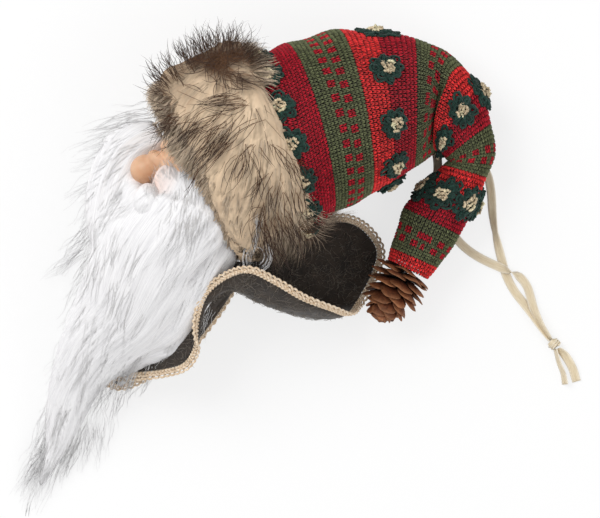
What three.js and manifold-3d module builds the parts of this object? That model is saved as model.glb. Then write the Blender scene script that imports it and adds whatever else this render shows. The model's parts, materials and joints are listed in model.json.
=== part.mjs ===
// A hanging Santa head ornament: foam head, moulded face, long beard, fur brim, knitted hat with a
// pine cone on its tail, felt collar with a lace edge, and a ribbon loop. It lies on its right side.
// Millimetres. X runs across the lying ornament, Y towards the top of the hat, Z up from the table.
// Places are measured from the middle of the head until the last step centres the whole on its base.
import * as THREE from 'three';
import { mergeVertices } from 'three/addons/utils/BufferGeometryUtils.js';
import Module from 'manifold-3d';

const wasm = await Module();
wasm.setup();

// Clearances
const GAP = 0.3; // between pieces that touch
const SWING_GAP = 0.5; // between the sections of the hat that turn on each other

// Head and face
const HEAD_R = 29;
const NECK_FLAT = 3; // depth of the flat cut under the head
const HEAD_UP = 63; // degrees, the way the top of the head points
const FACE_AHEAD = 165; // degrees, the middle of the moulded face
const MASK_T = 1.7;
const MASK_DEPTH = 15; // how far back round the head the face reaches
const NOSE_R = 5.4;
const NOSE_TURN = 171; // degrees
const NOSE_OUT = 3.3; // nose centre beyond the face
const EYE_R = 2.6;
const EYE_AHEAD = 21.8; // from the head's middle to the eyes, seen from the side
const EYE_TURN = 151.5; // degrees
const EYE_SUNK = 1.4; // eye centre below the face
const NECK_DISC_R = 12;
const NECK_DISC_T = 2;

// Fur brim, a band round the mouth of the hat
const BRIM_MIDDLE = [3.6, 12.4];
const BRIM_TURN = 25; // degrees, the way the hat leaves the head
const BRIM_HALF = 20.5; // half the band's depth along the hat
const BRIM_PILE = 8.5;
const BRIM_ROUND = 9;
const BRIM_PRESSED = 6; // how far the table presses the pile in

// Knitted hat
const MOUTH_R = 34.8;
const KNIT_T = 1.5;
const BODY_LIFT = 2.4; // the hat's underside over the table
const BEND_1 = [85.6, 38, 19];
const BEND_1_R = 9.6;
const BEND_2 = [95.2, 9.2, 14.4];
const BEND_2_R = 10.8;
const ELBOW_TURN = 80; // degrees, the way the middle section's cup faces away from
const ELBOW_CUP = 52; // degrees, half the angle that the cup holds
const CUFF_DEPTH = 2; // how far the filling stops short of the cuff's edge
const WIRE_R = 0.9;

// Pine cone
const CONE_LENGTH = 27;
const CONE_R = 13.4;
const CONE_TURN = -121; // degrees
const CONE_CORE_R = 5.4;
const CONE_FOOT = 1.5; // how far the cone stands into the cuff
const CONE_ROWS = 5;
const SCALES_A_ROW = 7;
const SCALE_W = 8.2;
const SCALE_T = 1.5;

// Felt collar and its lace
const FELT_T = 1.8;
const COLLAR_HOLE_R = 7.5;
const COLLAR_UP = 85; // degrees, the way the collar's hole faces
const LACE_GAP = 0.95; // from the felt's edge to the lace
const LACE_W = 3;
const LACE_T = 0.8;

// Ribbon
const RIBBON_W = 3.6;
const RIBBON_T = 0.7;
const KNOT_R = 2.3;
const TACK_R = 2.2;

const BRIM_R = MOUTH_R + BRIM_PILE;
const HEAD_Z = BRIM_R - BRIM_PRESSED;
const FACE_R = HEAD_R + MASK_T;
const FAR = 400; // longer than the ornament

const turn = (degrees) => (degrees * Math.PI) / 180;
const heading = (degrees) => new THREE.Vector3(Math.cos(turn(degrees)), Math.sin(turn(degrees)), 0);
const UP = new THREE.Vector3(0, 0, 1);
const HEAD = new THREE.Vector3(0, 0, HEAD_Z);
const spot = (x, y, z) => new THREE.Vector3(x, y, z);

// Joining and cutting

function solid(geometry) {
  const bare = geometry.clone();
  bare.deleteAttribute('normal');
  bare.deleteAttribute('uv');
  const merged = mergeVertices(bare, 1e-4);
  const vertProperties = Float32Array.from(merged.attributes.position.array);
  const triVerts = Uint32Array.from(merged.index.array);
  return new wasm.Manifold(new wasm.Mesh({ numProp: 3, vertProperties, triVerts }));
}

function geometryOf(body) {
  const mesh = body.getMesh();
  const geometry = new THREE.BufferGeometry();
  geometry.setAttribute('position', new THREE.BufferAttribute(Float32Array.from(mesh.vertProperties), 3));
  geometry.setIndex(new THREE.BufferAttribute(Uint32Array.from(mesh.triVerts), 1));
  geometry.computeVertexNormals();
  return geometry;
}

const cut = (body, ...tools) => tools.reduce((rest, tool) => rest.subtract(tool), body);
const largest = (body) => body.decompose().sort((a, b) => b.volume() - a.volume())[0];
const join = (body, ...others) => others.reduce((sum, other) => sum.add(other), body);

function ball(radius, centre, sides = 14) {
  const geometry = new THREE.SphereGeometry(radius, sides, sides / 2);
  return solid(geometry.translate(centre.x, centre.y, centre.z));
}

// Everything ahead of a plane that stands at `distance` from `centre`, along a heading.
function ahead(centre, degrees, distance) {
  const block = new THREE.BoxGeometry(FAR, FAR, FAR).translate(FAR / 2 + distance, 0, 0);
  return solid(block.rotateZ(turn(degrees)).translate(centre.x, centre.y, centre.z));
}

const underTable = () => solid(new THREE.BoxGeometry(FAR, FAR, FAR).translate(0, 0, -FAR / 2));

// A closed skin through rings of points, with a fan over each end.
function skin(rings) {
  const sides = rings[0].length;
  const positions = [];
  const faces = [];
  rings.forEach((ring) => ring.forEach((p) => positions.push(p.x, p.y, p.z)));
  for (let i = 0; i < rings.length - 1; i += 1) {
    for (let j = 0; j < sides; j += 1) {
      const a = i * sides + j;
      const b = i * sides + ((j + 1) % sides);
      faces.push(a, b, b + sides, a, b + sides, a + sides);
    }
  }
  [0, rings.length - 1].forEach((i) => {
    const middle = rings[i].reduce((sum, p) => sum.add(p), spot(0, 0, 0)).divideScalar(sides);
    const hub = positions.length / 3;
    positions.push(middle.x, middle.y, middle.z);
    for (let j = 0; j < sides; j += 1) {
      const a = i * sides + j;
      const b = i * sides + ((j + 1) % sides);
      faces.push(hub, ...(i === 0 ? [b, a] : [a, b]));
    }
  });
  const geometry = new THREE.BufferGeometry();
  geometry.setAttribute('position', new THREE.Float32BufferAttribute(positions, 3));
  geometry.setIndex(faces);
  return geometry;
}

// A soft form through stations [x, y, z, half width, half height, heading]. `grow` swells it all round,
// and `before` and `after` are how far it runs on past its two ends.
function form(stations, grow = 0, { steps = 8, sides = 16, before = grow, after = grow } = {}) {
  const places = new THREE.CatmullRomCurve3(stations.map(([x, y, z]) => spot(x, y, z)));
  const shapes = new THREE.CatmullRomCurve3(stations.map(([, , , half, rise, way]) => spot(half, rise, way)));
  const rings = [];
  for (let i = 0; i <= steps; i += 1) {
    const centre = places.getPoint(i / steps);
    const { x: half, y: rise, z: way } = shapes.getPoint(i / steps);
    const end = (i === steps ? after : 0) - (i === 0 ? before : 0);
    centre.addScaledVector(places.getTangent(i / steps), end);
    const ring = [];
    for (let j = 0; j < sides; j += 1) {
      const angle = (j / sides) * 2 * Math.PI;
      const across = heading(way + 90).multiplyScalar((half + grow) * Math.cos(angle));
      ring.push(centre.clone().add(across).addScaledVector(UP, (rise + grow) * Math.sin(angle)));
    }
    rings.push(ring);
  }
  return solid(skin(rings));
}

// A round rod or flat band along a curve: `thick` is measured upwards and `wide` along the table.
function strand(points, thick, wide, steps, sides = 8) {
  const section = new THREE.Shape();
  for (let j = 0; j < sides; j += 1) {
    const angle = ((j + 0.5) / sides) * 2 * Math.PI;
    const x = (thick / 2) * Math.cos(angle);
    const y = (wide / 2) * Math.sin(angle);
    if (j === 0) section.moveTo(x, y);
    else section.lineTo(x, y);
  }
  const extrudePath = new THREE.CatmullRomCurve3(points.map((p) => spot(...p)));
  return new THREE.ExtrudeGeometry(section, { steps, extrudePath, bevelEnabled: false });
}

// Head and face

const neckFoot = (below) => HEAD.clone().addScaledVector(heading(HEAD_UP), NECK_FLAT - HEAD_R - below);
const eyeRise = Math.sqrt(FACE_R ** 2 - EYE_AHEAD ** 2);

function eye(side, grow = 0) {
  const out = heading(EYE_TURN).multiplyScalar(EYE_AHEAD).addScaledVector(UP, side * eyeRise);
  return ball(EYE_R + grow, HEAD.clone().addScaledVector(out, (FACE_R - EYE_SUNK) / FACE_R), 12);
}

function nose(grow = 0) {
  const tip = HEAD.clone().addScaledVector(heading(NOSE_TURN), FACE_R + NOSE_OUT);
  const bridge = HEAD.clone().addScaledVector(heading(NOSE_TURN - 14), FACE_R - 1);
  return join(ball(NOSE_R + grow, tip, 16), ball(NOSE_R * 0.8 + grow, bridge, 12));
}

const headRoom = (radius) => ball(radius, HEAD, 20);

function headCore() {
  const below = ahead(HEAD, HEAD_UP + 180, HEAD_R - NECK_FLAT);
  return cut(headRoom(HEAD_R), below, eye(1, GAP), eye(-1, GAP), wireRod(WIRE_BODY, GAP));
}

function faceMask() {
  const front = ahead(HEAD, FACE_AHEAD, MASK_DEPTH);
  const shell = join(headRoom(FACE_R), nose()).intersect(front);
  const below = ahead(HEAD, HEAD_UP + 180, HEAD_R - NECK_FLAT);
  return largest(cut(shell, headRoom(HEAD_R + GAP), eye(1, GAP), eye(-1, GAP), below));
}

function neckDisc(grow = 0) {
  const disc = new THREE.CylinderGeometry(NECK_DISC_R + grow, NECK_DISC_R + grow, NECK_DISC_T + 2 * grow, 20);
  const at = neckFoot(GAP + NECK_DISC_T / 2);
  return solid(disc.rotateZ(turn(HEAD_UP - 90)).translate(at.x, at.y, at.z));
}

// Moustache: one roll of white pile that lies across the face under the nose.
function moustache(grow = 0) {
  const ends = 15;
  const rings = [];
  for (let i = 0; i <= 8; i += 1) {
    const along = (i / 8) * 2 - 1;
    const fat = Math.sqrt(1.02 - along ** 2);
    const away = FACE_R + 2.6 - 7 * along ** 2;
    const centre = HEAD.clone().addScaledVector(heading(NOSE_TURN + 19), away);
    centre.addScaledVector(UP, along * (ends + grow)).addScaledVector(heading(HEAD_UP + 180), 2 * along ** 2);
    const ring = [];
    for (let j = 0; j < 10; j += 1) {
      const angle = (j / 10) * 2 * Math.PI;
      const out = heading(NOSE_TURN + 19).multiplyScalar((4.6 * fat + grow) * Math.cos(angle));
      out.addScaledVector(heading(NOSE_TURN + 109), (6.6 * fat + grow) * Math.sin(angle));
      ring.push(centre.clone().add(out));
    }
    rings.push(ring);
  }
  return solid(skin(rings));
}

// Fur brim

function brim(grow = 0) {
  const outline = new THREE.Path();
  const r = BRIM_R + grow;
  const h = BRIM_HALF + grow;
  outline.moveTo(0, -h);
  outline.lineTo(r - BRIM_ROUND, -h);
  outline.absarc(r - BRIM_ROUND, BRIM_ROUND - h, BRIM_ROUND, -Math.PI / 2, 0);
  outline.absarc(r - BRIM_ROUND, h - BRIM_ROUND, BRIM_ROUND, 0, Math.PI / 2);
  outline.lineTo(0, h);
  const round = new THREE.LatheGeometry(outline.getPoints(2), 22);
  return solid(round.rotateZ(turn(BRIM_TURN - 90)).translate(...BRIM_MIDDLE, HEAD_Z));
}

function furBrim() {
  const hatRoom = form(HAT_BODY, GAP);
  return cut(brim(), headRoom(FACE_R + GAP), nose(GAP), eye(1, GAP), eye(-1, GAP), hatRoom, collarRoom(), underTable());
}

// Hat: three lengths of one knitted sleeve, each over its own filling. Stations as form() takes them.

const resting = (half) => BODY_LIFT + half;
const HAT_BODY = [
  [5.4, 13.2, HEAD_Z, MOUTH_R, MOUTH_R, BRIM_TURN],
  [24, 17, resting(34.2), 36, 34.2, 20],
  [45, 26, resting(31.5), 35.4, 31.5, 12],
  [60, 33, resting(26), 30.6, 26, 8],
  [72, 34, resting(20.4), 26, 20.4, 3],
  [80, 33.6, resting(16), 21, 16, 0],
  [85, 35, resting(13.6), 12, 9, 0],
];
const HAT_MIDDLE = [
  [...BEND_1, BEND_1_R, BEND_1_R, -72],
  [92, 26.4, 16, 11, 11, -73],
  [94.4, 15, 14.8, 11.9, 11.6, -78],
  [...BEND_2, 11.9, 11.4, -85],
];
const HAT_TIP = [
  [...BEND_2, BEND_2_R, BEND_2_R, -115],
  [90, 0, 13.4, 9.9, 9.9, -121],
  [81.8, -12, 14, 11.6, 11.2, -122],
  [76, -24, 14.2, 10.8, 10.8, -118],
  [70, -34.6, 15.4, 8.3, 8.3, -120],
];
const bend1 = spot(...BEND_1);
const bend2 = spot(...BEND_2);
const WIRE_BODY = [[10, 6, HEAD_Z], [24, 16, 36], [45, 26, 32], [60, 33, 26], [72, 34.4, 21]];
const WIRE_MIDDLE = [[86.6, 35, 18.5], [91, 24, 16], [94, 14, 14.8], BEND_2];
const WIRE_TIP = [[94, 7, 14.2], [89, -2, 13.6], [81.5, -13, 14.2], [75, -26, 14.8], [65.5, -42.5, 16]];

const wireRod = (points, grow = 0) => solid(strand(points, 2 * (WIRE_R + grow), 2 * (WIRE_R + grow), 8, 6));
const hatMiddleRoom = (grow) => join(form(HAT_MIDDLE, grow), ball(BEND_1_R + grow, bend1));
const elbowRoom = (grow) => ball(BEND_2_R + grow, bend2);
const pastElbow = (grow) => {
  const reach = BEND_2_R * Math.cos(turn(ELBOW_CUP));
  return ahead(bend2, ELBOW_TURN + 180, grow - reach);
};

function hatBodyKnit() {
  const outside = cut(form(HAT_BODY), hatMiddleRoom(SWING_GAP));
  const inside = cut(form(HAT_BODY, -KNIT_T, { before: 1 }), hatMiddleRoom(SWING_GAP + KNIT_T));
  return cut(outside, inside, headRoom(HEAD_R + GAP));
}

function hatBodyStuffing() {
  const inside = cut(form(HAT_BODY, -KNIT_T - GAP), hatMiddleRoom(SWING_GAP + KNIT_T + GAP));
  return cut(inside, headRoom(HEAD_R + GAP), wireRod(WIRE_BODY, GAP));
}

const middleCut = (body) => cut(body, elbowRoom(SWING_GAP), pastElbow(0));
const middleInside = (gap) => join(form(HAT_MIDDLE, -KNIT_T - gap), ball(BEND_1_R - KNIT_T - gap, bend1));

const hatMiddleKnit = () => middleCut(cut(hatMiddleRoom(0), middleInside(0)));
const hatMiddleStuffing = () => cut(middleCut(middleInside(GAP)), wireRod(WIRE_MIDDLE, GAP));

const tipForm = (inset, after) => join(form(HAT_TIP, -inset, { after }), ball(BEND_2_R - inset, bend2));

const hatTipKnit = () => cut(tipForm(0, 0), tipForm(KNIT_T, 1));
const hatTipStuffing = () => cut(tipForm(KNIT_T + GAP, -CUFF_DEPTH), wireRod(WIRE_TIP, GAP), cone(GAP));

// Pine cone: a spindle with open scales in rings, each ring turned half a scale past the last.

const CONE_BASE = spot(...HAT_TIP.at(-1).slice(0, 3)).addScaledVector(heading(CONE_TURN), -CONE_FOOT);

function scale(out, wide, thick) {
  const half = wide / 2;
  const paddle = new THREE.Shape();
  paddle.moveTo(0, -half * 0.45);
  paddle.lineTo(out * 0.72, -half);
  paddle.lineTo(out, -half * 0.45);
  paddle.lineTo(out, half * 0.45);
  paddle.lineTo(out * 0.72, half);
  paddle.lineTo(0, half * 0.45);
  return new THREE.ExtrudeGeometry(paddle, { depth: thick, bevelEnabled: false, steps: 1 });
}

function cone(grow = 0) {
  const spindle = new THREE.Path();
  spindle.moveTo(0, -grow);
  spindle.lineTo(CONE_CORE_R * 0.8 + grow, -grow);
  spindle.quadraticCurveTo(CONE_CORE_R * 1.5, CONE_LENGTH * 0.4, CONE_CORE_R * 0.35, CONE_LENGTH);
  spindle.lineTo(0, CONE_LENGTH);
  let body = solid(new THREE.LatheGeometry(spindle.getPoints(3), 8));
  for (let row = 0; row < CONE_ROWS && grow === 0; row += 1) {
    const share = row / (CONE_ROWS - 1);
    const reach = CONE_R * Math.sin(turn(52 + 100 * share ** 1.15));
    for (let i = 0; i < SCALES_A_ROW; i += 1) {
      const blade = scale(reach, SCALE_W * (1 - 0.45 * share), SCALE_T).translate(0, 0, -SCALE_T / 2);
      blade.rotateY(turn(-8 - 62 * share)).rotateX(-Math.PI / 2);
      blade.translate(0, 4 + share * (CONE_LENGTH - 9.5), 0);
      body = body.add(solid(blade.rotateY(turn(((i + (row % 2) / 2) * 360) / SCALES_A_ROW))));
    }
  }
  return body.transform(coneTurned());
}

function coneTurned() {
  const matrix = new THREE.Matrix4().makeRotationZ(turn(CONE_TURN - 90));
  return matrix.setPosition(CONE_BASE).elements;
}

const pinecone = () => cut(cone(), wireRod(WIRE_TIP, GAP));

// Felt collar: a dished sheet from a hole under the neck to a wavy rim, in two long lobes.
// Rim points [x, y, z], from the front lobe's tip over the near side, the back lobe and the far side.
const COLLAR_RIM = [
  [-49.4, -77, 9], [-39, -75.8, 16.5], [-27.6, -74.4, 24], [-19, -71.5, 30], [-14.6, -64, 35],
  [-12.8, -54, 41], [-9, -44.5, 46], [-0.8, -38, 50], [7, -36, 52], [16.8, -40.4, 48],
  [27.2, -46.4, 41], [38, -50.4, 31], [45.5, -52.5, 18], [49.5, -48, 5.4], [56, -36, 4.6],
  [58, -27, 4.6], [52, -18.6, 5.4], [44, -15.6, 7], [34, -18.5, 6.4], [22, -26, 5.4],
  [10, -33, 6.2], [1, -41.2, 5.6], [-8, -54, 5], [-19, -67, 5.2], [-36, -77, 4.6],
  [-46.6, -80.4, 4.2],
];
const BELLY_DEPTH = 18; // how far the sheet bellies away from the head
const BELLY_TURN = -80; // degrees, the way it bellies
const COLLAR_ROUND = 46; // points round the collar
const COLLAR_OUT = 4; // steps from the hole to the rim

function collarPoint(round, out) {
  const rim = new THREE.CatmullRomCurve3(COLLAR_RIM.map((p) => spot(...p)), true).getPoint(round);
  const angle = turn(360 * round + 8);
  const tilt = COLLAR_HOLE_R * Math.sin(turn(COLLAR_UP - HEAD_UP));
  const hole = neckFoot(GAP * 2 + NECK_DISC_T + FELT_T / 2 + tilt);
  hole.addScaledVector(heading(COLLAR_UP + 90), COLLAR_HOLE_R * Math.cos(angle));
  hole.addScaledVector(UP, COLLAR_HOLE_R * Math.sin(angle));
  const near = THREE.MathUtils.smoothstep(rim.z, 3, 30);
  const belly = hole.clone().lerp(rim, 0.5).addScaledVector(heading(BELLY_TURN), BELLY_DEPTH);
  belly.z = THREE.MathUtils.lerp(rim.z, belly.z - 4, near);
  const first = (1 - out) ** 2;
  const second = 2 * out * (1 - out);
  return hole.multiplyScalar(first).addScaledVector(belly, second).addScaledVector(rim, out ** 2);
}

function collarNormal(round, out) {
  const step = 0.004;
  const along = collarPoint(round + step, out).sub(collarPoint(round - step, out));
  const away = collarPoint(round, Math.min(1, out + step)).sub(collarPoint(round, out - step));
  return away.cross(along).normalize();
}

function rimAway(round) {
  const along = collarPoint(round + 0.004, 1).sub(collarPoint(round - 0.004, 1)).normalize();
  const away = collarPoint(round, 1).sub(collarPoint(round, 1 - 1 / COLLAR_OUT));
  return away.addScaledVector(along, -away.dot(along)).normalize();
}

// A sheet along the collar's surface, `half` thick each way, and going on `beyond` past its rim.
function collarSheet(half, beyond = 0) {
  const positions = [];
  const faces = [];
  const rows = COLLAR_OUT + 1;
  for (let i = 0; i < COLLAR_ROUND; i += 1) {
    for (let j = 0; j < rows; j += 1) {
      const round = i / COLLAR_ROUND;
      const out = 0.002 + (0.998 * j) / COLLAR_OUT;
      const normal = collarNormal(round, out);
      [half, -half].forEach((rise) => {
        const p = collarPoint(round, out).addScaledVector(normal, rise);
        if (j === COLLAR_OUT) p.addScaledVector(rimAway(round), beyond);
        positions.push(p.x, p.y, p.z);
      });
    }
  }
  const id = (i, j, side) => ((i % COLLAR_ROUND) * rows + j) * 2 + side;
  const quad = (a, b, c, d) => faces.push(a, b, c, a, c, d);
  for (let i = 0; i < COLLAR_ROUND; i += 1) {
    for (let j = 0; j < COLLAR_OUT; j += 1) {
      quad(id(i, j, 0), id(i, j + 1, 0), id(i + 1, j + 1, 0), id(i + 1, j, 0));
      quad(id(i, j, 1), id(i + 1, j, 1), id(i + 1, j + 1, 1), id(i, j + 1, 1));
    }
    quad(id(i, 0, 0), id(i + 1, 0, 0), id(i + 1, 0, 1), id(i, 0, 1));
    quad(id(i, COLLAR_OUT, 0), id(i, COLLAR_OUT, 1), id(i + 1, COLLAR_OUT, 1), id(i + 1, COLLAR_OUT, 0));
  }
  const geometry = new THREE.BufferGeometry();
  geometry.setAttribute('position', new THREE.Float32BufferAttribute(positions, 3));
  geometry.setIndex(faces);
  return geometry;
}

const collarFelt = () => solid(collarSheet(FELT_T / 2));
const collarRoom = () => solid(collarSheet(FELT_T / 2 + 8 * GAP, LACE_GAP + LACE_W + 8 * GAP));

// Lace: a flat band sewn along the collar's rim, standing on from its edge.
function collarLace() {
  const positions = [];
  const faces = [];
  const id = (i, j) => (i % COLLAR_ROUND) * 4 + j;
  for (let i = 0; i < COLLAR_ROUND; i += 1) {
    const round = i / COLLAR_ROUND;
    const normal = collarNormal(round, 1);
    const rim = collarPoint(round, 1);
    const away = rimAway(round);
    [[0, 1], [1, 1], [1, -1], [0, -1]].forEach(([outer, side]) => {
      const out = LACE_GAP + outer * LACE_W;
      const p = rim.clone().addScaledVector(away, out).addScaledVector(normal, (side * LACE_T) / 2);
      positions.push(p.x, p.y, p.z);
    });
    for (let j = 0; j < 4; j += 1) {
      const next = (j + 1) % 4;
      faces.push(id(i, j), id(i, next), id(i + 1, next), id(i, j), id(i + 1, next), id(i + 1, j));
    }
  }
  const geometry = new THREE.BufferGeometry();
  geometry.setAttribute('position', new THREE.Float32BufferAttribute(positions, 3));
  geometry.setIndex(faces);
  return solid(geometry);
}

// Beard: the mass of the long white pile, from the cheeks over the chest to its tips on the table.
const BEARD = [
  [-13, -9.6, HEAD_Z, 26.5, 34, -110],
  [-30, -31, 34.5, 26, 28.5, -114],
  [-41.6, -52, 27.5, 22.4, 21, -116],
  [-56.2, -68.6, 20, 15, 14, -117],
  [-65.6, -85.2, 10.6, 10, 10.8, -117],
  [-70.4, -104.4, 6, 7, 6.6, -117],
  [-77.6, -122, 3, 4.2, 3.6, -117],
];
// The far cheek's pile, that the table spreads past the nose and that joins the rest below it.
const BEARD_FAR = [
  [-27, 18, 21, 9, 13, -150],
  [-37, 12, 20, 15, 14.5, -140],
  [-43.6, 0, 20.4, 15, 15.5, -115],
  [-46, -14, 22.6, 13.4, 17, -100],
  [-46, -28, 25, 11, 18, -100],
];
const BEARD_BACK = [-2, -36, HEAD_Z, 14]; // the hollow behind the chin, where the neck and collar are

function beard() {
  const mass = join(form(BEARD, 0, { steps: 8, sides: 18 }), form(BEARD_FAR, 0, { steps: 6, sides: 14 }));
  const [x, y, z, r] = BEARD_BACK;
  const chin = join(ball(r + 8, spot(x, y, z)), neckDisc(GAP));
  const face = cut(mass, headRoom(FACE_R + GAP), nose(GAP), moustache(GAP), brim(GAP), chin);
  return largest(cut(face, collarRoom(), underTable()));
}

// Ribbon: one length folded over, tacked under the hat's first bend and knotted near its ends.
// It lies on the table. Points are chosen by hand along the ribbon's middle.
const LOW = 0.5; // ribbon on the table
const OVER = 1.6; // ribbon on ribbon
const STRAND_NEAR = [
  [76.5, 28, 1.2], [78.3, 23.4, 0.7], [80.6, 17.5, LOW], [82.4, 11.5, LOW], [82.8, 6, LOW], [82.2, 1.5, LOW],
  [82.6, -4, LOW], [84.6, -11, LOW], [87.4, -17.6, LOW], [91, -23, LOW], [95.8, -27.4, LOW],
  [101, -30.6, 0.9], [107, -33.4, OVER], [112.6, -35.8, OVER], [116.4, -38.2, OVER], [119, -42, OVER],
  [120.4, -46.6, OVER], [121.8, -51.4, OVER], [124.6, -57, OVER], [128.1, -62.4, OVER],
];
const STRAND_FAR = [
  [78.8, 30.8, OVER], [84.2, 28, 1.2], [90, 21.6, 0.7], [95.6, 14.6, LOW], [100.2, 8.6, LOW],
  [103.2, 2.4, LOW], [104.4, -4.4, LOW], [104.8, -11, LOW], [105.6, -17.6, LOW], [107, -24.4, LOW],
  [108.6, -30.8, LOW], [110.4, -37, LOW], [113.6, -43.2, LOW], [118, -49, LOW], [122, -54.6, LOW],
  [125.4, -59.6, LOW], [128.2, -63.2, LOW],
];
const KNOT = [129.6, -64.6, 1.9];
const END_NEAR = [[131.5, -66.4, OVER], [134.5, -69.8, 1.3], [137.2, -74.6, 0.9], [138.8, -79.8, LOW]];
const END_FAR = [[130.2, -66.6, LOW], [131.6, -72, LOW], [133.4, -76.6, LOW], [134.2, -81, LOW]];
const TACK = [76.2, 30.6, 1.55];

const ribbonBand = (points, steps) => solid(strand(points, RIBBON_T, RIBBON_W, steps));

function flatBall(radius, tall, [x, y, z]) {
  const geometry = new THREE.SphereGeometry(radius, 10, 6).scale(1, 1, tall);
  return solid(geometry.translate(x, y, z));
}

// Assembly

const ornament = new THREE.Group();

function add(name, body, color, roughness = 0.9, metalness = 0) {
  const material = new THREE.MeshStandardMaterial({ color, roughness, metalness, flatShading: true });
  const mesh = new THREE.Mesh(geometryOf(body), material);
  mesh.name = name;
  ornament.add(mesh);
}

add('head_core', headCore(), 0xe8e4da);
add('face_mask', faceMask(), 0xdca983, 0.5);
add('eye_left', eye(1), 0x6f8496, 0.1);
add('eye_right', eye(-1), 0x6f8496, 0.1);
add('neck_disc', neckDisc(), 0xb9a98c);
add('moustache', cut(moustache(), headRoom(FACE_R + GAP), nose(GAP)), 0xf2f1ee);
add('beard', beard(), 0xf2f1ee);
add('fur_brim', furBrim(), 0xb79d7a);
add('hat_body_knit', hatBodyKnit(), 0x9e1b2e);
add('hat_body_stuffing', hatBodyStuffing(), 0xefeee9);
add('hat_wire_body', wireRod(WIRE_BODY), 0x8e9092, 0.4, 1);
add('hat_middle_knit', hatMiddleKnit(), 0xd02a30);
add('hat_middle_stuffing', hatMiddleStuffing(), 0xefeee9);
add('hat_wire_middle', cut(wireRod(WIRE_MIDDLE), elbowRoom(SWING_GAP)), 0x8e9092, 0.4, 1);
add('hat_tip_knit', hatTipKnit(), 0x4c5a35);
add('hat_tip_stuffing', hatTipStuffing(), 0xefeee9);
add('hat_wire_tip', wireRod(WIRE_TIP), 0x8e9092, 0.4, 1);
add('pinecone', pinecone(), 0x8a5a3c, 0.7);
add('collar_felt', collarFelt(), 0x443f39);
add('collar_lace', collarLace(), 0xd8bf98);
add('ribbon_tack', flatBall(TACK_R, 0.4, TACK), 0xe8dcc0);
add('ribbon_strand_near', ribbonBand(STRAND_NEAR, 26), 0xe8dcc0, 0.5);
add('ribbon_strand_far', ribbonBand(STRAND_FAR, 24), 0xe8dcc0, 0.5);
add('ribbon_knot', flatBall(KNOT_R, 0.8, KNOT), 0xe8dcc0, 0.5);
add('ribbon_end_near', ribbonBand(END_NEAR, 5), 0xe8dcc0, 0.5);
add('ribbon_end_far', ribbonBand(END_FAR, 5), 0xe8dcc0, 0.5);

// The origin is on the table, under the middle of everything but the ribbon.
const box = new THREE.Box3();
ornament.children.filter((piece) => !piece.name.startsWith('ribbon')).forEach((piece) => box.expandByObject(piece));
const middle = box.getCenter(new THREE.Vector3());
ornament.position.set(-middle.x, -middle.y, 0);

export default ornament;
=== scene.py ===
# Hanging Santa head ornament: moulded face, long white beard, fur brim, knitted hat with a pine cone
# on its tail, felt collar with a crochet edge, and a satin ribbon loop. It lies on its right side.
# Lengths are in millimetres from the middle of the head until row() takes them to the frame's metres.
import json
import math

import bpy
import numpy as np
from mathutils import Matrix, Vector
from mathutils.bvhtree import BVHTree

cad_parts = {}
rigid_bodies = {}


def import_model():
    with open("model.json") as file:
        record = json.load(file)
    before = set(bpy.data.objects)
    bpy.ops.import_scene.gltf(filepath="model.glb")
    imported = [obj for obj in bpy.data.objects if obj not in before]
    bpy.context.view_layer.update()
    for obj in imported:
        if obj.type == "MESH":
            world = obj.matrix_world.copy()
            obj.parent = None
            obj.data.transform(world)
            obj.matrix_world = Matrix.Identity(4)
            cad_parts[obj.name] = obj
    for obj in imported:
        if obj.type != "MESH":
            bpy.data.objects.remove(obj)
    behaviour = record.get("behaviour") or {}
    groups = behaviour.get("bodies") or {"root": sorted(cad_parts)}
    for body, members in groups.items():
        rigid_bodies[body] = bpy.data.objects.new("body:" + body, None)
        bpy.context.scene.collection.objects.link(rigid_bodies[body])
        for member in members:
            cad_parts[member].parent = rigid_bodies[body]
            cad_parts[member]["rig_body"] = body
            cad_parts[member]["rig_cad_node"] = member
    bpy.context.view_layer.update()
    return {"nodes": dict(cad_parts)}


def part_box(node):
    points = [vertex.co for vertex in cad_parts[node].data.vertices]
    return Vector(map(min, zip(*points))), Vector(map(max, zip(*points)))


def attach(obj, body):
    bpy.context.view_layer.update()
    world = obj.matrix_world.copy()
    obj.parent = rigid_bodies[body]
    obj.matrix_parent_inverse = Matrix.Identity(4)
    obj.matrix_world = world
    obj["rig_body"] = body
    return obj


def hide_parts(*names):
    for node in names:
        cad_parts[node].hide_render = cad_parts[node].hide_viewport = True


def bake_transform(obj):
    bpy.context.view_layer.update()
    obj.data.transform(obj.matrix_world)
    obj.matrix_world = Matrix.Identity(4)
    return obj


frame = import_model()
bpy.ops.object.select_all(action="DESELECT")
scene = bpy.context.scene
scene.view_settings.view_transform = "Standard"

# Camera: straight above the table, far enough off that the lying ornament shows with little
# perspective. The picture is 240 mm wide at the height of the hat's tail.
MM = 0.001
PIXEL = 0.4  # millimetres to a pixel of the picture
PICTURE_WIDTH = 600
PICTURE_MIDDLE = (300, 259)
PICTURE_ORIGIN = (232, 183)  # the pixel over the middle of the head
CAMERA_UP = 2500.0
CAMERA_SHARP = 22.0  # height at which the scale holds
SENSOR = 36.0
RIBBON_KNOT = (129.6, -64.6)

knot_low, knot_high = (np.array(corner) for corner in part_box("ribbon_knot"))
HEAD_SHIFT = (knot_low + knot_high)[:2] / 2 - np.array(RIBBON_KNOT) * MM


def row(points):
    """Millimetres from the middle of the head, to metres in the frame."""
    moved = np.array(points, float) * MM
    moved[..., 0] += HEAD_SHIFT[0]
    moved[..., 1] += HEAD_SHIFT[1]
    return moved


def seen(across, down):
    """Millimetres from the middle of the head, of what the picture shows at a pixel."""
    return np.array([(across - PICTURE_ORIGIN[0]) * PIXEL, (PICTURE_ORIGIN[1] - down) * PIXEL])


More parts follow.
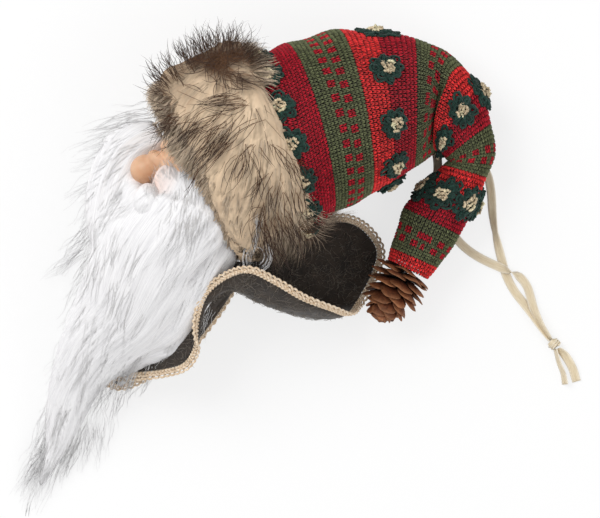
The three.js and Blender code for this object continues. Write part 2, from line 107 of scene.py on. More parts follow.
camera_data = bpy.data.cameras.new("camera")
camera_data.sensor_width = SENSOR
camera_data.lens = SENSOR * (CAMERA_UP - CAMERA_SHARP) / (PICTURE_WIDTH * PIXEL)
camera_data.clip_end = 10.0
camera = bpy.data.objects.new("camera", camera_data)
camera.location = Vector(row([*seen(*PICTURE_MIDDLE), CAMERA_UP]))
scene.collection.objects.link(camera)
scene.camera = camera

# Table and light: a plain white table, a large soft light from the upper left and a weak one
# opposite, under an even white sky.
SKY_STRENGTH = 0.6
KEY_WATTS = 7.2
FILL_WATTS = 3.4
LIT_AT = (0, 0, 0.03)
TABLE_GLOW = 0.72  # how much of the table is plain white to the camera; the rest takes the shadow


def linear(colour):
    """An sRGB hex colour as linear red, green, blue and alpha."""
    parts = [int(colour[i : i + 2], 16) / 255 for i in (0, 2, 4)]
    return (*(c / 12.92 if c <= 0.04045 else ((c + 0.055) / 1.055) ** 2.4 for c in parts), 1.0)


def put(tree, kind, sockets=None, stops=(), **settings):
    """Adds a node with its settings and a ramp's colours, and sets or links its inputs."""
    node = tree.nodes.new(kind)
    for name, value in settings.items():
        setattr(node, name, value)
    for i, (position, colour) in enumerate(stops):
        element = node.color_ramp.elements[i] if i < 2 else node.color_ramp.elements.new(1.0)
        element.position = position
        element.color = linear(colour)
    for name, value in (sockets or {}).items():
        if isinstance(value, bpy.types.NodeSocket):
            tree.links.new(value, node.inputs[name])
        else:
            node.inputs[name].default_value = value
    return node


def lamp(name, place, size, watts):
    """A square area light, turned to the ornament."""
    light = bpy.data.lights.new(name, "AREA")
    light.size = size
    light.energy = watts
    holder = bpy.data.objects.new(name, light)
    holder.location = place
    holder.rotation_euler = (Vector(LIT_AT) - Vector(place)).to_track_quat("-Z", "Y").to_euler()
    scene.collection.objects.link(holder)


lamp("key", (-0.55, 0.5, 0.85), 0.7, KEY_WATTS)
lamp("fill", (0.7, -0.4, 0.7), 0.9, FILL_WATTS)

world = bpy.data.worlds.new("sky")
world.use_nodes = True
scene.world = world
sky = world.node_tree
sky.nodes.clear()
ray = put(sky, "ShaderNodeLightPath")
plain = put(sky, "ShaderNodeMath", {0: ray.outputs["Is Camera Ray"], 1: ray.outputs["Is Glossy Ray"]}, operation="ADD")
through = {0: plain.outputs[0], 1: ray.outputs["Is Transmission Ray"]}
shown = put(sky, "ShaderNodeMath", through, operation="ADD", use_clamp=True)
dim = put(sky, "ShaderNodeBackground", {"Color": (1, 1, 1, 1), "Strength": SKY_STRENGTH})
white = put(sky, "ShaderNodeBackground", {"Color": (1, 1, 1, 1), "Strength": 1.0})
mixed = put(sky, "ShaderNodeMixShader", {0: shown.outputs[0], 1: dim.outputs[0], 2: white.outputs[0]})
put(sky, "ShaderNodeOutputWorld", {"Surface": mixed.outputs[0]})

bpy.ops.mesh.primitive_plane_add(size=6, location=(0, 0, 0))
table = bpy.context.object
table.name = "table"
table_paint = bpy.data.materials.new("white table")
table_paint.use_nodes = True
tree = table_paint.node_tree
tree.nodes.clear()
matt = put(tree, "ShaderNodeBsdfDiffuse", {"Color": linear("F4F4F4")})
lit = put(tree, "ShaderNodeEmission", {"Color": (1, 1, 1, 1), "Strength": 1.0})
table_ray = put(tree, "ShaderNodeLightPath")
share = put(tree, "ShaderNodeMath", {0: table_ray.outputs["Is Camera Ray"], 1: TABLE_GLOW}, operation="MULTIPLY")
both = put(tree, "ShaderNodeMixShader", {0: share.outputs[0], 1: matt.outputs[0], 2: lit.outputs[0]})
put(tree, "ShaderNodeOutputMaterial", {"Surface": both.outputs[0]})
table.data.materials.append(table_paint)
bpy.ops.object.select_all(action="DESELECT")

# Ribbon: one length of narrow cream satin, folded over, stitched under the hat's first bend and
# knotted near its ends. Each strand is a thin band with a woven edge, turning over where it twists.
RIBBON_WIDE = 3.6
RIBBON_THICK = 0.34
RIBBON_FLOATS = 0.3
LOW = 0.5  # on the table
OVER = 1.6  # over the other strand
UP = np.array([0, 0, 1.0])
STRAND_NEAR = [
    (76.5, 28, 1.2), (78.3, 23.4, 0.7), (80.6, 17.5, LOW), (82.4, 11.5, LOW), (82.8, 6, LOW),
    (82.2, 1.5, LOW), (82.6, -4, LOW), (84.6, -11, LOW), (87.4, -17.6, LOW), (91, -23, LOW),
    (95.8, -27.4, LOW), (101, -30.6, 0.9), (107, -33.4, OVER), (112.6, -35.8, OVER),
    (116.4, -38.2, OVER), (119, -42, OVER), (120.4, -46.6, OVER), (121.8, -51.4, OVER),
    (124.6, -57, OVER), (128.1, -62.4, OVER),
]
STRAND_FAR = [
    (78.8, 30.8, OVER), (84.2, 28, 1.2), (90, 21.6, 0.7), (95.6, 14.6, LOW), (100.2, 8.6, LOW),
    (103.2, 2.4, LOW), (104.4, -4.4, LOW), (104.8, -11, LOW), (105.6, -17.6, LOW),
    (107, -24.4, LOW), (108.6, -30.8, LOW), (110.4, -37, LOW), (113.6, -43.2, LOW),
    (118, -49, LOW), (122, -54.6, LOW), (125.4, -59.6, LOW), (128.2, -63.2, LOW),
]
END_NEAR = [(131.5, -66.4, OVER), (134.5, -69.8, 1.3), (137.2, -74.6, 0.9), (138.8, -79.8, LOW)]
END_FAR = [(130.2, -66.6, LOW), (131.6, -72, LOW), (133.4, -76.6, LOW), (134.2, -81, LOW)]


def gone_along(line):
    """How far along a line each of its points is."""
    return np.concatenate([[0], np.cumsum(np.linalg.norm(np.diff(line, axis=0), axis=1))])


def smoothed(points, count):
    """A smooth line through the points, as count points at even distances."""
    points = np.array(points, float)
    ends = np.vstack([2 * points[0] - points[1], points, 2 * points[-1] - points[-2]])
    line = []
    for i in range(len(points) - 1):
        a, b, c, d = ends[i : i + 4]
        t = np.linspace(0, 1, 24, endpoint=False)[:, None]
        line.append(0.5 * (2 * b + (c - a) * t + (2 * a - 5 * b + 4 * c - d) * t**2 + (3 * b - a - 3 * c + d) * t**3))
    line = np.vstack([*line, points[-1:]])
    gone = gone_along(line)
    even = np.linspace(0, gone[-1], count)
    return np.stack([np.interp(even, gone, line[:, i]) for i in range(points.shape[1])], axis=1)


def unit(vectors):
    """The same ways, each of length 1."""
    return vectors / np.maximum(np.linalg.norm(vectors, axis=-1, keepdims=True), 1e-9)


def mesh_piece(name, points, faces, colours=None, uv=None):
    """A smooth-shaded object in the frame. faces holds arrays of faces with equal corners each;
    colours are its points' own, kept as the attribute yarn, and uv is its map."""
    mesh = bpy.data.meshes.new(name)
    mesh.vertices.add(len(points))
    mesh.vertices.foreach_set("co", row(points).astype(np.float32).ravel())
    corners = np.concatenate([f.ravel() for f in faces]).astype(np.int32)
    sizes = np.concatenate([np.full(len(f), f.shape[1]) for f in faces])
    mesh.loops.add(len(corners))
    mesh.loops.foreach_set("vertex_index", corners)
    mesh.polygons.add(len(sizes))
    mesh.polygons.foreach_set("loop_start", np.concatenate([[0], np.cumsum(sizes)[:-1]]).astype(np.int32))
    mesh.polygons.foreach_set("use_smooth", np.ones(len(sizes), bool))
    if colours is not None:
        mesh.attributes.new("yarn", "FLOAT_COLOR", "POINT").data.foreach_set("color", np.float32(colours).ravel())
    if uv is not None:
        mesh.uv_layers.new(name="cloth").data.foreach_set("uv", np.float32(uv)[corners].ravel())
    mesh.update(calc_edges=True)
    piece = bpy.data.objects.new(name, mesh)
    scene.collection.objects.link(piece)
    return piece


def ring_faces(lines, steps, sides):
    """Faces of tubes whose points are numbered by line, step and side: walls, then both ends."""
    start = (np.arange(lines) * steps * sides)[:, None, None]
    step = (np.arange(steps - 1) * sides)[None, :, None]
    side = np.arange(sides)[None, None, :]
    a = start + step + side
    b = start + step + (side + 1) % sides
    walls = np.stack([a, b, b + sides, a + sides], axis=-1).reshape(-1, 4)
    first = start[:, 0] + np.arange(sides)[None, ::-1]
    last = start[:, 0] + (steps - 1) * sides + np.arange(sides)[None, :]
    return [walls, first, last]


# Round the band's section: how far to its side, and whether on its upper or its under face.
BAND_SECTION = [(-1, 0), (-0.97, 1), (-0.5, 1), (0, 1), (0.5, 1), (0.97, 1), (1, 0), (0.97, -1), (0, -1), (-0.97, -1)]
BAND_HOLLOW = 0.12
TABLE_GAP = 0.06


def band(name, path, rolls, wide, thick):
    """A flat band along a path, rolled about its length, its face hollowed slightly across."""
    along = unit(np.gradient(path, axis=0))
    across = unit(np.cross(UP, along))
    over = np.cross(along, across)
    rolls = np.radians(rolls)[:, None]
    side = across * np.cos(rolls) + over * np.sin(rolls)
    rise = over * np.cos(rolls) - across * np.sin(rolls)
    rings = []
    for u, top in BAND_SECTION:
        rings.append(path + side * u * wide / 2 + rise * (top * thick / 2 + BAND_HOLLOW * (u * u - 0.4)))
    points = np.stack(rings, axis=1)
    points[..., 2] = np.maximum(points[..., 2], TABLE_GAP)
    shares = np.array([(u + 1) / 2 for u, _ in BAND_SECTION])
    uv = np.dstack(np.broadcast_arrays(shares, gone_along(path)[:, None]))
    faces = ring_faces(1, len(path), len(BAND_SECTION))
    return mesh_piece(name, points.reshape(-1, 3), [f[:, ::-1] for f in faces], uv=uv.reshape(-1, 2))


def finish_named(name, **sockets):
    """A material with a Principled surface: the material, its node tree and that node."""
    finish = bpy.data.materials.new(name)
    finish.use_nodes = True
    tree = finish.node_tree
    tree.nodes.clear()
    surface = put(tree, "ShaderNodeBsdfPrincipled", {key.replace("_", " "): value for key, value in sockets.items()})
    put(tree, "ShaderNodeOutputMaterial", {"Surface": surface.outputs[0]})
    return finish, tree, surface


def dress(piece, finish, slot, *nodes, body="ornament"):
    """Gives a piece its finish and its body, and hides the CAD nodes that it stands for. slot is not used."""
    piece.data.materials.append(finish)
    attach(piece, body)
    if nodes:
        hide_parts(*nodes)
    return piece


# Woven satin: long floats along the ribbon give a soft directional shine; the woven edge is paler.
# The floats are drawn 0.3 mm apart, coarser than real ones, so that they show.
satin, tree, surface = finish_named("cream satin ribbon", Roughness=0.38, Sheen_Weight=0.25, Anisotropic=0.5)
place = put(tree, "ShaderNodeUVMap", uv_map="cloth")
split = put(tree, "ShaderNodeSeparateXYZ", {0: place.outputs[0]})
edge = put(tree, "ShaderNodeMath", {0: split.outputs["X"], 1: 0.5}, operation="SUBTRACT")
edge = put(tree, "ShaderNodeMath", {0: edge.outputs[0]}, operation="ABSOLUTE")
paler = [(0.0, "D2C09D"), (0.3, "DBCAAB"), (0.42, "ECE1CC"), (0.5, "F2E9D8")]
tint = put(tree, "ShaderNodeValToRGB", {0: edge.outputs[0]}, stops=paler)
drawn_out = (RIBBON_WIDE / RIBBON_FLOATS, 0.25, 1)
stretch = put(tree, "ShaderNodeMapping", {"Vector": place.outputs[0], "Scale": drawn_out})
floats = put(tree, "ShaderNodeTexNoise", {"Vector": stretch.outputs[0], "Scale": 1.0, "Detail": 3.0})
grain = put(tree, "ShaderNodeValToRGB", {0: floats.outputs[0]}, stops=[(0.3, "B8A584"), (0.7, "F4EBD6")])
shade = put(tree, "ShaderNodeMix", {0: 0.35, 6: tint.outputs[0], 7: grain.outputs[0]}, data_type="RGBA")
tree.links.new(shade.outputs[2], surface.inputs["Base Color"])
weave = put(tree, "ShaderNodeBump", {"Height": floats.outputs["Fac"], "Strength": 0.25, "Distance": 0.0002})
tree.links.new(weave.outputs[0], surface.inputs["Normal"])


def ribbon_length(points, name, count, twists, node):
    """One stretch of ribbon. twists are (share of its length, degrees of roll)."""
    path = smoothed(points, count)
    shares = np.linspace(0, 1, count)
    rolls = np.interp(shares, *zip(*twists))
    path[:, 2] += np.abs(np.sin(np.radians(rolls))) * RIBBON_WIDE * 0.42
    return dress(band(name, path, rolls, RIBBON_WIDE, RIBBON_THICK), satin, "satin_ribbon", node), row(path)


RIBBON_TWISTS_NEAR = [(0, 10), (0.3, -8), (0.62, 0), (0.68, 0), (0.75, 180), (0.86, 180), (0.93, 230), (1, 250)]
RIBBON_TWISTS_FAR = [(0, 0), (0.45, 12), (0.55, 55), (0.62, 10), (0.8, 0), (0.9, -30), (1, -60)]
strand_near, near_path = ribbon_length(STRAND_NEAR, "ribbon_near", 80, RIBBON_TWISTS_NEAR, "ribbon_strand_near")
strand_far, far_path = ribbon_length(STRAND_FAR, "ribbon_far", 76, RIBBON_TWISTS_FAR, "ribbon_strand_far")
end_near, _ = ribbon_length(END_NEAR, "ribbon_end_wide", 16, [(0, 60), (0.3, 10), (1, 0)], "ribbon_end_near")
end_far, _ = ribbon_length(END_FAR, "ribbon_end_thin", 16, [(0, 70), (0.5, 62), (1, 50)], "ribbon_end_far")

# The knot is the ribbon's own two turns drawn tight.
KNOT_AT = np.array([*RIBBON_KNOT, 1.7])
KNOT_STEPS = 44
turns = np.linspace(0, 4.4 * math.pi, KNOT_STEPS)
lengthwise = np.array([0.71, -0.70, 0])
sideways = np.array([0.70, 0.71, 0])
knot_path = (
    KNOT_AT
    + np.outer(np.linspace(-1.1, 1.1, KNOT_STEPS), lengthwise)
    + np.outer(1.55 * np.cos(turns), sideways)
    + np.outer(1.3 * np.sin(turns), UP)
)
knot = band("ribbon_knot_turns", knot_path, np.full(KNOT_STEPS, 20.0), 2.2, 0.5)
dress(knot, satin, "satin_ribbon", "ribbon_knot")

# The tack is three turns of thread through both strands, under the hat's first bend.
TACK_AT = np.array([76.2, 30.6, 1.55])
TACK_STEPS = 60
TACK_R = 1.6
turns = np.linspace(0, 6 * math.pi, TACK_STEPS)
tack_path = (
    TACK_AT
    + np.outer(TACK_R * np.cos(turns) * np.linspace(1, 0.5, TACK_STEPS), [1, 0, 0])
    + np.outer(TACK_R * np.sin(turns), [0, 1, 0])
    + np.outer(0.25 * np.sin(3 * turns) + 0.1, UP)
)
tack = band("ribbon_tack_stitches", tack_path, np.zeros(TACK_STEPS), 0.8, 0.5)
dress(tack, satin, "satin_ribbon", "ribbon_tack")

# Knitted hat: a tapered sleeve of soft yarn, knitted round in stripes with red dots on the olive ones,
# and pulled over loose filling and a bent wire. Its rows run round it, so the stitches stand in
# columns along it. Every stitch is modelled, as two legs of yarn.
# At each station: course along the hat, outer and inner side in the picture, middle height, half
# height, lean.
HAT_STATIONS = [
    (-16, (204, 73), (278, 231), 37.3, 34.8, 5.6),
    (-8, (262, 56), (310, 236), 37, 34.6, 5.6),
    (0, (284.5, 45), (331.4, 212.5), 35, 33.6, 5.6),
    (12, (336.7, 31), (368.9, 196.5), 33.2, 30.8, 5.2),
    (25, (415.7, 38), (414.4, 167), 22.4, 20, 1.1),
    (31, (440, 47), (428, 156), 19.5, 17, -2.5),
    (37, (462, 65), (437, 150), 18, 14, -6),
    (43.5, (483, 93), (440, 152), 17, 12.5, -3),
    (50, (491, 124), (447, 158), 16, 12, 0),
    (56, (497, 152), (450, 161), 15, 11.6, 0),
    (62, (487, 177), (447, 162), 14.4, 11, 0),
    (65, (481, 190), (434, 176), 13.8, 10.6, 0),
    (68, (476, 206), (421, 190), 13.6, 10.6, 0),
    (72, (466, 223), (410, 200), 14, 11, 0),
    (75, (459, 236), (404, 207), 14, 11.2, 0),
    (81, (448, 253), (398, 228), 14.2, 11, 0),
    (87, (438, 267), (392, 248), 14.6, 9.6, 0),
    (91, (427, 279), (389, 260), 15.4, 8.6, 0),
]
HAT_FOLD = 34.5  # the course where the sleeve kinks over its first bend
HAT_FROM, HAT_TO = -16, 91
STITCH_WIDE = 1.5
FIRST_ROW = -11
CRIMSON = "A81628"
BRIGHT_RED = "DA3232"
OLIVE = "5F6445"
STRIPES = [
    (-16, BRIGHT_RED), (-12, CRIMSON), (0, OLIVE), (12, BRIGHT_RED), (18, CRIMSON), (25, OLIVE),
    (37, BRIGHT_RED), (43, CRIMSON), (50, OLIVE), (62, BRIGHT_RED), (68, CRIMSON), (75, OLIVE),
    (87, BRIGHT_RED), (99, BRIGHT_RED),
]

spots = np.array([(c, *seen(*outer), *seen(*inner), *rest) for c, outer, inner, *rest in HAT_STATIONS])
hat_courses = np.linspace(HAT_FROM, HAT_TO, 4 * (HAT_TO - HAT_FROM) + 1)
hat_lines = np.stack([np.interp(hat_courses, spots[:, 0], spots[:, i]) for i in range(1, 8)], axis=1)
soften = np.exp(-0.5 * (np.arange(-20, 21) / 7) ** 2)
soften /= soften.sum()
longer = np.pad(hat_lines, ((20, 20), (0, 0)), mode="reflect", reflect_type="odd")
hat_lines = np.stack([np.convolve(longer[:, i], soften, "valid") for i in range(7)], axis=1)


def step_up(value, low, high):
    """A smooth step from 0 at low to 1 at high."""
    share = np.clip((value - low) / (high - low), 0, 1)
    return share * share * (3 - 2 * share)


def hat_place(course, turned):
    """Points on the hat's skin: course along it, and degrees round it from the top to its outer side."""
    at_course = (np.interp(course, hat_courses, line) for line in hat_lines.T)
    outer_x, outer_y, inner_x, inner_y, height, rise, lean = at_course
    half = np.hypot(outer_x - inner_x, outer_y - inner_y) / 2
    across_x, across_y = (outer_x - inner_x) / (2 * half), (outer_y - inner_y) / (2 * half)
    angle = np.radians(turned)
    around = (turned + 180) % 360 - 180
    fold = np.exp(-0.5 * ((course - HAT_FOLD) / 1.8) ** 2) * step_up(around, -75, -45) * (1 - step_up(around, 20, 50))
    lumps = 0.012 * np.sin(course * 0.55 + 2.1 * np.sin(angle)) + 0.009 * np.sin(course * 0.21 + 3 * angle)
    size = 1 - 0.42 * fold + lumps
    side = half * np.sin(angle) * size
    ahead = lean * np.cos(angle) * size
    return np.stack(
        [
            (outer_x + inner_x) / 2 + across_x * side + across_y * ahead,
            (outer_y + inner_y) / 2 + across_y * side - across_x * ahead,
            height + rise * np.cos(angle) * size,
        ],
        axis=-1,
    )


def hat_at(course, turned, out):
    """Points that stand out from the hat's skin by a number of millimetres, and the way out."""
    course, turned, out = np.broadcast_arrays(course, turned, out)
    along = hat_place(course + 0.3, turned) - hat_place(course - 0.3, turned)
    around = hat_place(course, turned + 2) - hat_place(course, turned - 2)
    normal = unit(np.cross(along, around))
    return hat_place(course, turned) + normal * out[..., None], normal


def tubes(lines, radii, sides=3, facing=None, flat=1.0):
    """Points and faces of strands along lines (strand, step, xyz) with radii (strand, step), pressed
    flat along the way that they face."""
    count, steps, _ = lines.shape
    along = unit(np.gradient(lines, axis=1))
    if facing is None:
        facing = np.where(np.abs(along[..., 2:]) > 0.8, [1.0, 0, 0], UP)
    side = unit(np.cross(facing, along))
    over = np.cross(along, side)
    angle = (np.arange(sides) / sides + 0.25) * 2 * math.pi
    ring = side[:, :, None] * np.cos(angle)[:, None] + over[:, :, None] * np.sin(angle)[:, None] * flat
    points = lines[:, :, None] + ring * np.asarray(radii)[:, :, None, None]
    return points.reshape(-1, 3), ring_faces(count, steps, sides)


def strand_piece(name, lines, radii, shades, sides=3, facing=None, flat=1.0):
    """Many strands as one object, with their colours (strand, step, rgb) as the attribute yarn."""
    points, faces = tubes(lines, radii, sides, facing, flat)
    points[:, 2] = np.maximum(points[:, 2], 0.05)
    colour = np.ones((*lines.shape[:2], sides, 4))
    colour[..., :3] = shades[:, :, None]
    return mesh_piece(name, points, faces, colour.reshape(-1, 4))


def stripe_of(course):
    """The number of the stripe that a course is in."""
    return [i for i, (start, _) in enumerate(STRIPES) if start <= course][-1]


def strand_finish(name, grain, detail, turned, tones, relief=None, **sockets):
    """A finish for pieces that keep their own colours as the attribute yarn. Noise of a grain in
    millimetres scales them: tones holds two of its values and the scale at each. relief is the
    strength and height that it is raised by."""
    finish, tree, surface = finish_named(name, **sockets)
    shade = put(tree, "ShaderNodeAttribute", attribute_name="yarn")
    place = put(tree, "ShaderNodeTexCoord")
    noise = {"Vector": place.outputs["Object"], "Scale": 1 / (grain * MM), "Detail": detail, "Distortion": turned}
    fibres = put(tree, "ShaderNodeTexNoise", noise)
    low, high, darkest, palest = tones
    ends = {"From Min": low, "From Max": high, "To Min": darkest, "To Max": palest}
    tone = put(tree, "ShaderNodeMapRange", {"Value": fibres.outputs["Fac"], **ends})
    mixed = put(tree, "ShaderNodeVectorMath", {0: shade.outputs["Color"], "Scale": tone.outputs[0]}, operation="SCALE")
    tree.links.new(mixed.outputs[0], surface.inputs["Base Color"])
    if relief:
        strength, rise = relief
        fuzz = put(tree, "ShaderNodeBump", {"Height": fibres.outputs["Fac"], "Strength": strength, "Distance": rise})
        tree.links.new(fuzz.outputs[0], surface.inputs["Normal"])
    return finish, tree, surface


# Soft acrylic and wool yarn, loosely plied: a matt, slightly hairy thread whose fibres catch light
# along its rim. The plies are drawn 0.5 mm apart.
yarn, _, _ = strand_finish(
    "soft knitting yarn", 0.9, 4.0, 0.0, (0.3, 0.72, 0.4, 1.25), (0.6, 0.0003),
    Roughness=0.86, Sheen_Weight=0.08, Sheen_Roughness=0.5, Specular_IOR_Level=0.2,
)

chance = np.random.default_rng(7)
stitch_rows = np.arange(FIRST_ROW, HAT_TO)
round_hat = np.linspace(0, 360, 73)
girth = {}
for course in stitch_rows:
    ring = hat_place(np.full(len(round_hat), course + 0.5), round_hat)
    girth[course] = np.linalg.norm(np.diff(ring, axis=0), axis=1).sum()
DOT_RED = "B01828"
KNIT_PIECES = [
    ("knit_crown", FIRST_ROW, 12), ("knit_side", 12, 30), ("knit_bend", 30, 47), ("knit_tail", 47, HAT_TO),
]
# One leg of a stitch at its four points: course, share of the stitch's width, millimetres out from
# the skin, radius, and painted light on its colour: painted shade where it dips under its neighbours, a painted
# highlight on its crown.
LEG_COURSE = [-0.15, 0.25, 0.75, 1.1]
LEG_ASIDE = [0.1, 0.22, 0.36, 0.42]
LEG_OUT = np.array([-0.35, 0.1, 0.15, -0.3])
LEG_R = [0.17, 0.3, 0.3, 0.17]
LEG_PAINTED_SHADE_AND_HIGHLIGHT = np.array([0.12, 1.0, 1.3, 0.2])
knit_pieces = {}
for name, first, last in KNIT_PIECES:
    cells = []
    for course in range(first, last):
        stripe = stripe_of(course + 0.5)
        near = [girth[c] for c in stitch_rows if stripe_of(c + 0.5) == stripe]
        columns = round(sum(near) / len(near) / STITCH_WIDE)
        k = np.arange(columns)
        base = np.array(linear(STRIPES[stripe][1])[:3])
        shades = np.broadcast_to(base, (columns, 3)).copy()
        if STRIPES[stripe][1] == OLIVE:
            down = course - STRIPES[stripe][0]
            dotted = ((down in (4, 5)) & (k % 4 < 2)) | ((down in (7, 8)) & ((k + 1) % 4 < 2))
            shades[dotted] = linear(DOT_RED)[:3]
        rows, widths = np.full(columns, course), np.full(columns, 360 / columns)
        cells.append(np.column_stack([rows, (k + 0.5) * 360 / columns, widths, shades]))
    cells = np.vstack(cells)
    lines, normals, radii, shades = [], [], [], []
    for leg in (-1, 1):
        jitter = chance.normal(0, 1, (len(cells), 3))
        course = cells[:, :1] + LEG_COURSE + 0.05 * jitter[:, :1]
        wide = cells[:, 2:3]
        turned = cells[:, 1:2] + leg * wide * LEG_ASIDE + 0.04 * wide * jitter[:, 1:2]
        out = LEG_OUT + 0.06 * jitter[:, 2:]
        points, normal = hat_at(course, turned, out)
        lines.append(points)
        normals.append(normal)
        radii.append(np.broadcast_to(LEG_R, (len(cells), 4)))
        bright = chance.uniform(0.7, 1.3, (len(cells), 1, 1))
        # The yarn's colour carries the painted shade and highlight of its leg along it.
        shades.append(cells[:, None, 3:] * bright * LEG_PAINTED_SHADE_AND_HIGHLIGHT[:, None])
    piece = strand_piece(name, np.vstack(lines), np.vstack(radii), np.vstack(shades), 4, np.vstack(normals))
    piece.data.materials.append(yarn)
    knit_pieces[name] = piece

# Snowflakes: small star-shaped motifs in dark green yarn with a cream middle, worked in loops that
# stand up from the knit. Of each: its course along the hat and its degrees round it.
SNOWFLAKES = {
    "snowflakes_crown": [(-9.5, turned) for turned in range(-170, 190, 24)],
    "snowflakes_side": [(18, turned) for turned in (80, 30, -14, -50, -90, -130, -170, 150, 115)],
    "snowflakes_bend": [(43.5, turned) for turned in (81, 15, -42, -100, -160, 140)],
    "snowflakes_tail": [(68, -70), (68, -13), (68, 44), (68, 100), (63.5, 165), (68, -130)],
}
FLAKE_STEPS = 10
FLAKE_R = 0.56
DARK_GREEN = "203C34"
CREAM = "DCC8A6"
PETALS = ((5.6, 2.0, 0.4), (4.8, 1.2, 0.8), (3.7, 0.6, 1.3))  # long, wide, height
CREAM_STITCHES = (
    (-2.1, 0.9, 0.5), (-1.3, -0.8, -0.4), (-0.6, 1.3, 0.35), (0.1, 0.0, -0.5),
    (0.8, -1.5, 0.4), (1.2, 1.0, -0.45), (2.1, -0.3, 0.4), (-0.4, -1.9, -0.3),
)
swing = np.linspace(0, 2 * math.pi, FLAKE_STEPS)
petals = []
for petal in range(8):
    turn_x, turn_y = math.cos(petal * math.pi / 4), math.sin(petal * math.pi / 4)
    for long, wide, rise in PETALS:
        ahead = 0.8 + long * (1 - np.cos(swing)) / 2
        aside = wide * np.sin(swing) * np.sin(swing / 2)
        x, y = ahead * turn_x - aside * turn_y, ahead * turn_y + aside * turn_x
        petals.append(np.column_stack([x, y, rise * np.sin(swing / 2)]))
for loop in range(6):
    angle = loop * math.pi / 3 + 0.4
    x, y = 2.6 * math.cos(angle) + 1.3 * np.cos(swing), 2.6 * math.sin(angle) + 1.3 * np.sin(swing)
    petals.append(np.column_stack([x, y, 1.1 + 0.2 * np.sin(2 * swing)]))
petal_shades = [DARK_GREEN] * len(petals) + [CREAM] * len(CREAM_STITCHES)
for across, ahead, lean in CREAM_STITCHES:
    along = np.linspace(-0.95, 0.95, FLAKE_STEPS)
    petals.append(np.column_stack([across + lean * along, ahead + along, 2.0 - 0.5 * along**2]))
petals = np.stack(petals)
petal_shades = np.array([linear(colour)[:3] for colour in petal_shades])
for name, spots in SNOWFLAKES.items():
    lines, shades = [], []
    for course, turned in spots:
        wide = hat_place(course, turned + 2.0) - hat_place(course, turned - 2.0)
        degrees = 4 / np.linalg.norm(wide)
        spin = chance.uniform(0, math.pi / 4)
        petal_size = chance.uniform(0.8, 1.12, (len(petals), 1))
        x = petals[..., 0] * math.cos(spin) - petals[..., 1] * math.sin(spin)
        y = petals[..., 0] * math.sin(spin) + petals[..., 1] * math.cos(spin)
        x, y = x * petal_size, y * petal_size
        out = 0.4 + petals[..., 2] * chance.uniform(0.7, 1.3, (len(petals), 1)) + chance.normal(0, 0.15, x.shape)
        loops, _ = hat_at(course + y / 1.6, turned + x * degrees, out)
        lines.append(loops + chance.normal(0, 0.2, loops.shape))
        bright = petal_shades[:, None] * chance.uniform(0.7, 1.4, (len(petals), 1, 1))
        shades.append(bright * np.ones((1, FLAKE_STEPS, 1)))
    lines, shades = np.vstack(lines), np.minimum(np.vstack(shades), 0.85)
    piece = strand_piece(name, lines, np.full(lines.shape[:2], FLAKE_R), shades, 4)
    piece.data.materials.append(yarn)
    knit_pieces[name] = piece


def mottled(name, grain, detail, colours, relief=None, rough=0.5, **sockets):
    """A finish of two colours in patches of a grain in millimetres. Its relief has a grain of its own,
    a detail, how far it is drawn about, a strength and a height."""
    finish, tree, surface = finish_named(name, **sockets)
    place = put(tree, "ShaderNodeTexCoord").outputs["Object"]
    noise = {"Vector": place, "Scale": 1 / (grain * MM), "Detail": detail, "Roughness": rough}
    patches = put(tree, "ShaderNodeTexNoise", noise)
    tint = put(tree, "ShaderNodeValToRGB", {0: patches.outputs["Fac"]}, stops=colours)
    tree.links.new(tint.outputs[0], surface.inputs["Base Color"])
    if relief:
        grain, detail, turned, strength, rise = relief
        noise = {"Vector": place, "Scale": 1 / (grain * MM), "Detail": detail, "Distortion": turned}
        folds = put(tree, "ShaderNodeTexNoise", noise)
        bump = put(tree, "ShaderNodeBump", {"Height": folds.outputs["Fac"], "Strength": strength, "Distance": rise})
        tree.links.new(bump.outputs[0], surface.inputs["Normal"])
    return finish


# The filling is coloured near-black as painted shade: it stands for the knit's shaded inside, seen dark between the
# stitches.
HEAD_HIGH = 37.3
HAT_WAY = np.array([math.cos(math.radians(25)), math.sin(math.radians(25)), 0])
FILLING_R = 31.2  # what its first end leaves free round the middle of the head
FILLING_IN = 0.8
FILLING_CAPS = (0.9, 0.72, 0.5, 0.28, 0.06)
inside = mottled("painted shade inside the knit", 2, 3.0, [(0.3, "0E0506"), (0.7, "1C0A0B")], Roughness=0.95)


def filling(name, first, last):
    """A closed form just inside the knit. Its first end fits round the head where it meets it."""
    courses = np.linspace(first, last, int((last - first) / 1.5) + 2)
    angles = np.arange(0, 360, 7.5)
    rings = [hat_at(np.full(len(angles), c), angles, -FILLING_IN)[0] for c in courses]
    for at_start in (True, False):
        ring = rings[0 if at_start else -1]
        middle = ring.mean(axis=0)
        for share in FILLING_CAPS:
            rings.insert(0 if at_start else len(rings), middle + (ring - middle) * share)
    points = np.stack(rings)
    if first < 0:
        from_head = points - HEAD_HIGH * UP
        ahead = from_head @ HAT_WAY
        aside = np.linalg.norm(from_head - ahead[..., None] * HAT_WAY, axis=-1)
        clear = np.sqrt(np.maximum(FILLING_R**2 - aside**2, 0))
        points += np.maximum(clear - ahead, 0)[..., None] * HAT_WAY * (aside < FILLING_R)[..., None]
    faces = ring_faces(1, len(points), len(angles))
    piece = mesh_piece(name, points.reshape(-1, 3), [f[:, ::-1] for f in faces])
    piece.data.materials.append(inside)
    return piece


# The knit and its filling lie over the hat's two bends. Of each: the way the hat runs through it, and
# how far along that way the bend begins and ends.
FIRST_BEND = (np.array([0.81, -0.59]), (50.0, 61.0))
SECOND_BEND = (np.array([-0.225, -0.974]), (-29.5, -16.0))
BEND_HIGH = 15.0


def over_bend(piece, bodies, way, reach):
    """Takes a piece's place into its mesh. The bend's ends, from way and reach, are worked out but not used; bodies is
    not used.
    """
    start, end = (row([*(way * distance), BEND_HIGH]) for distance in reach)
    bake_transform(piece)


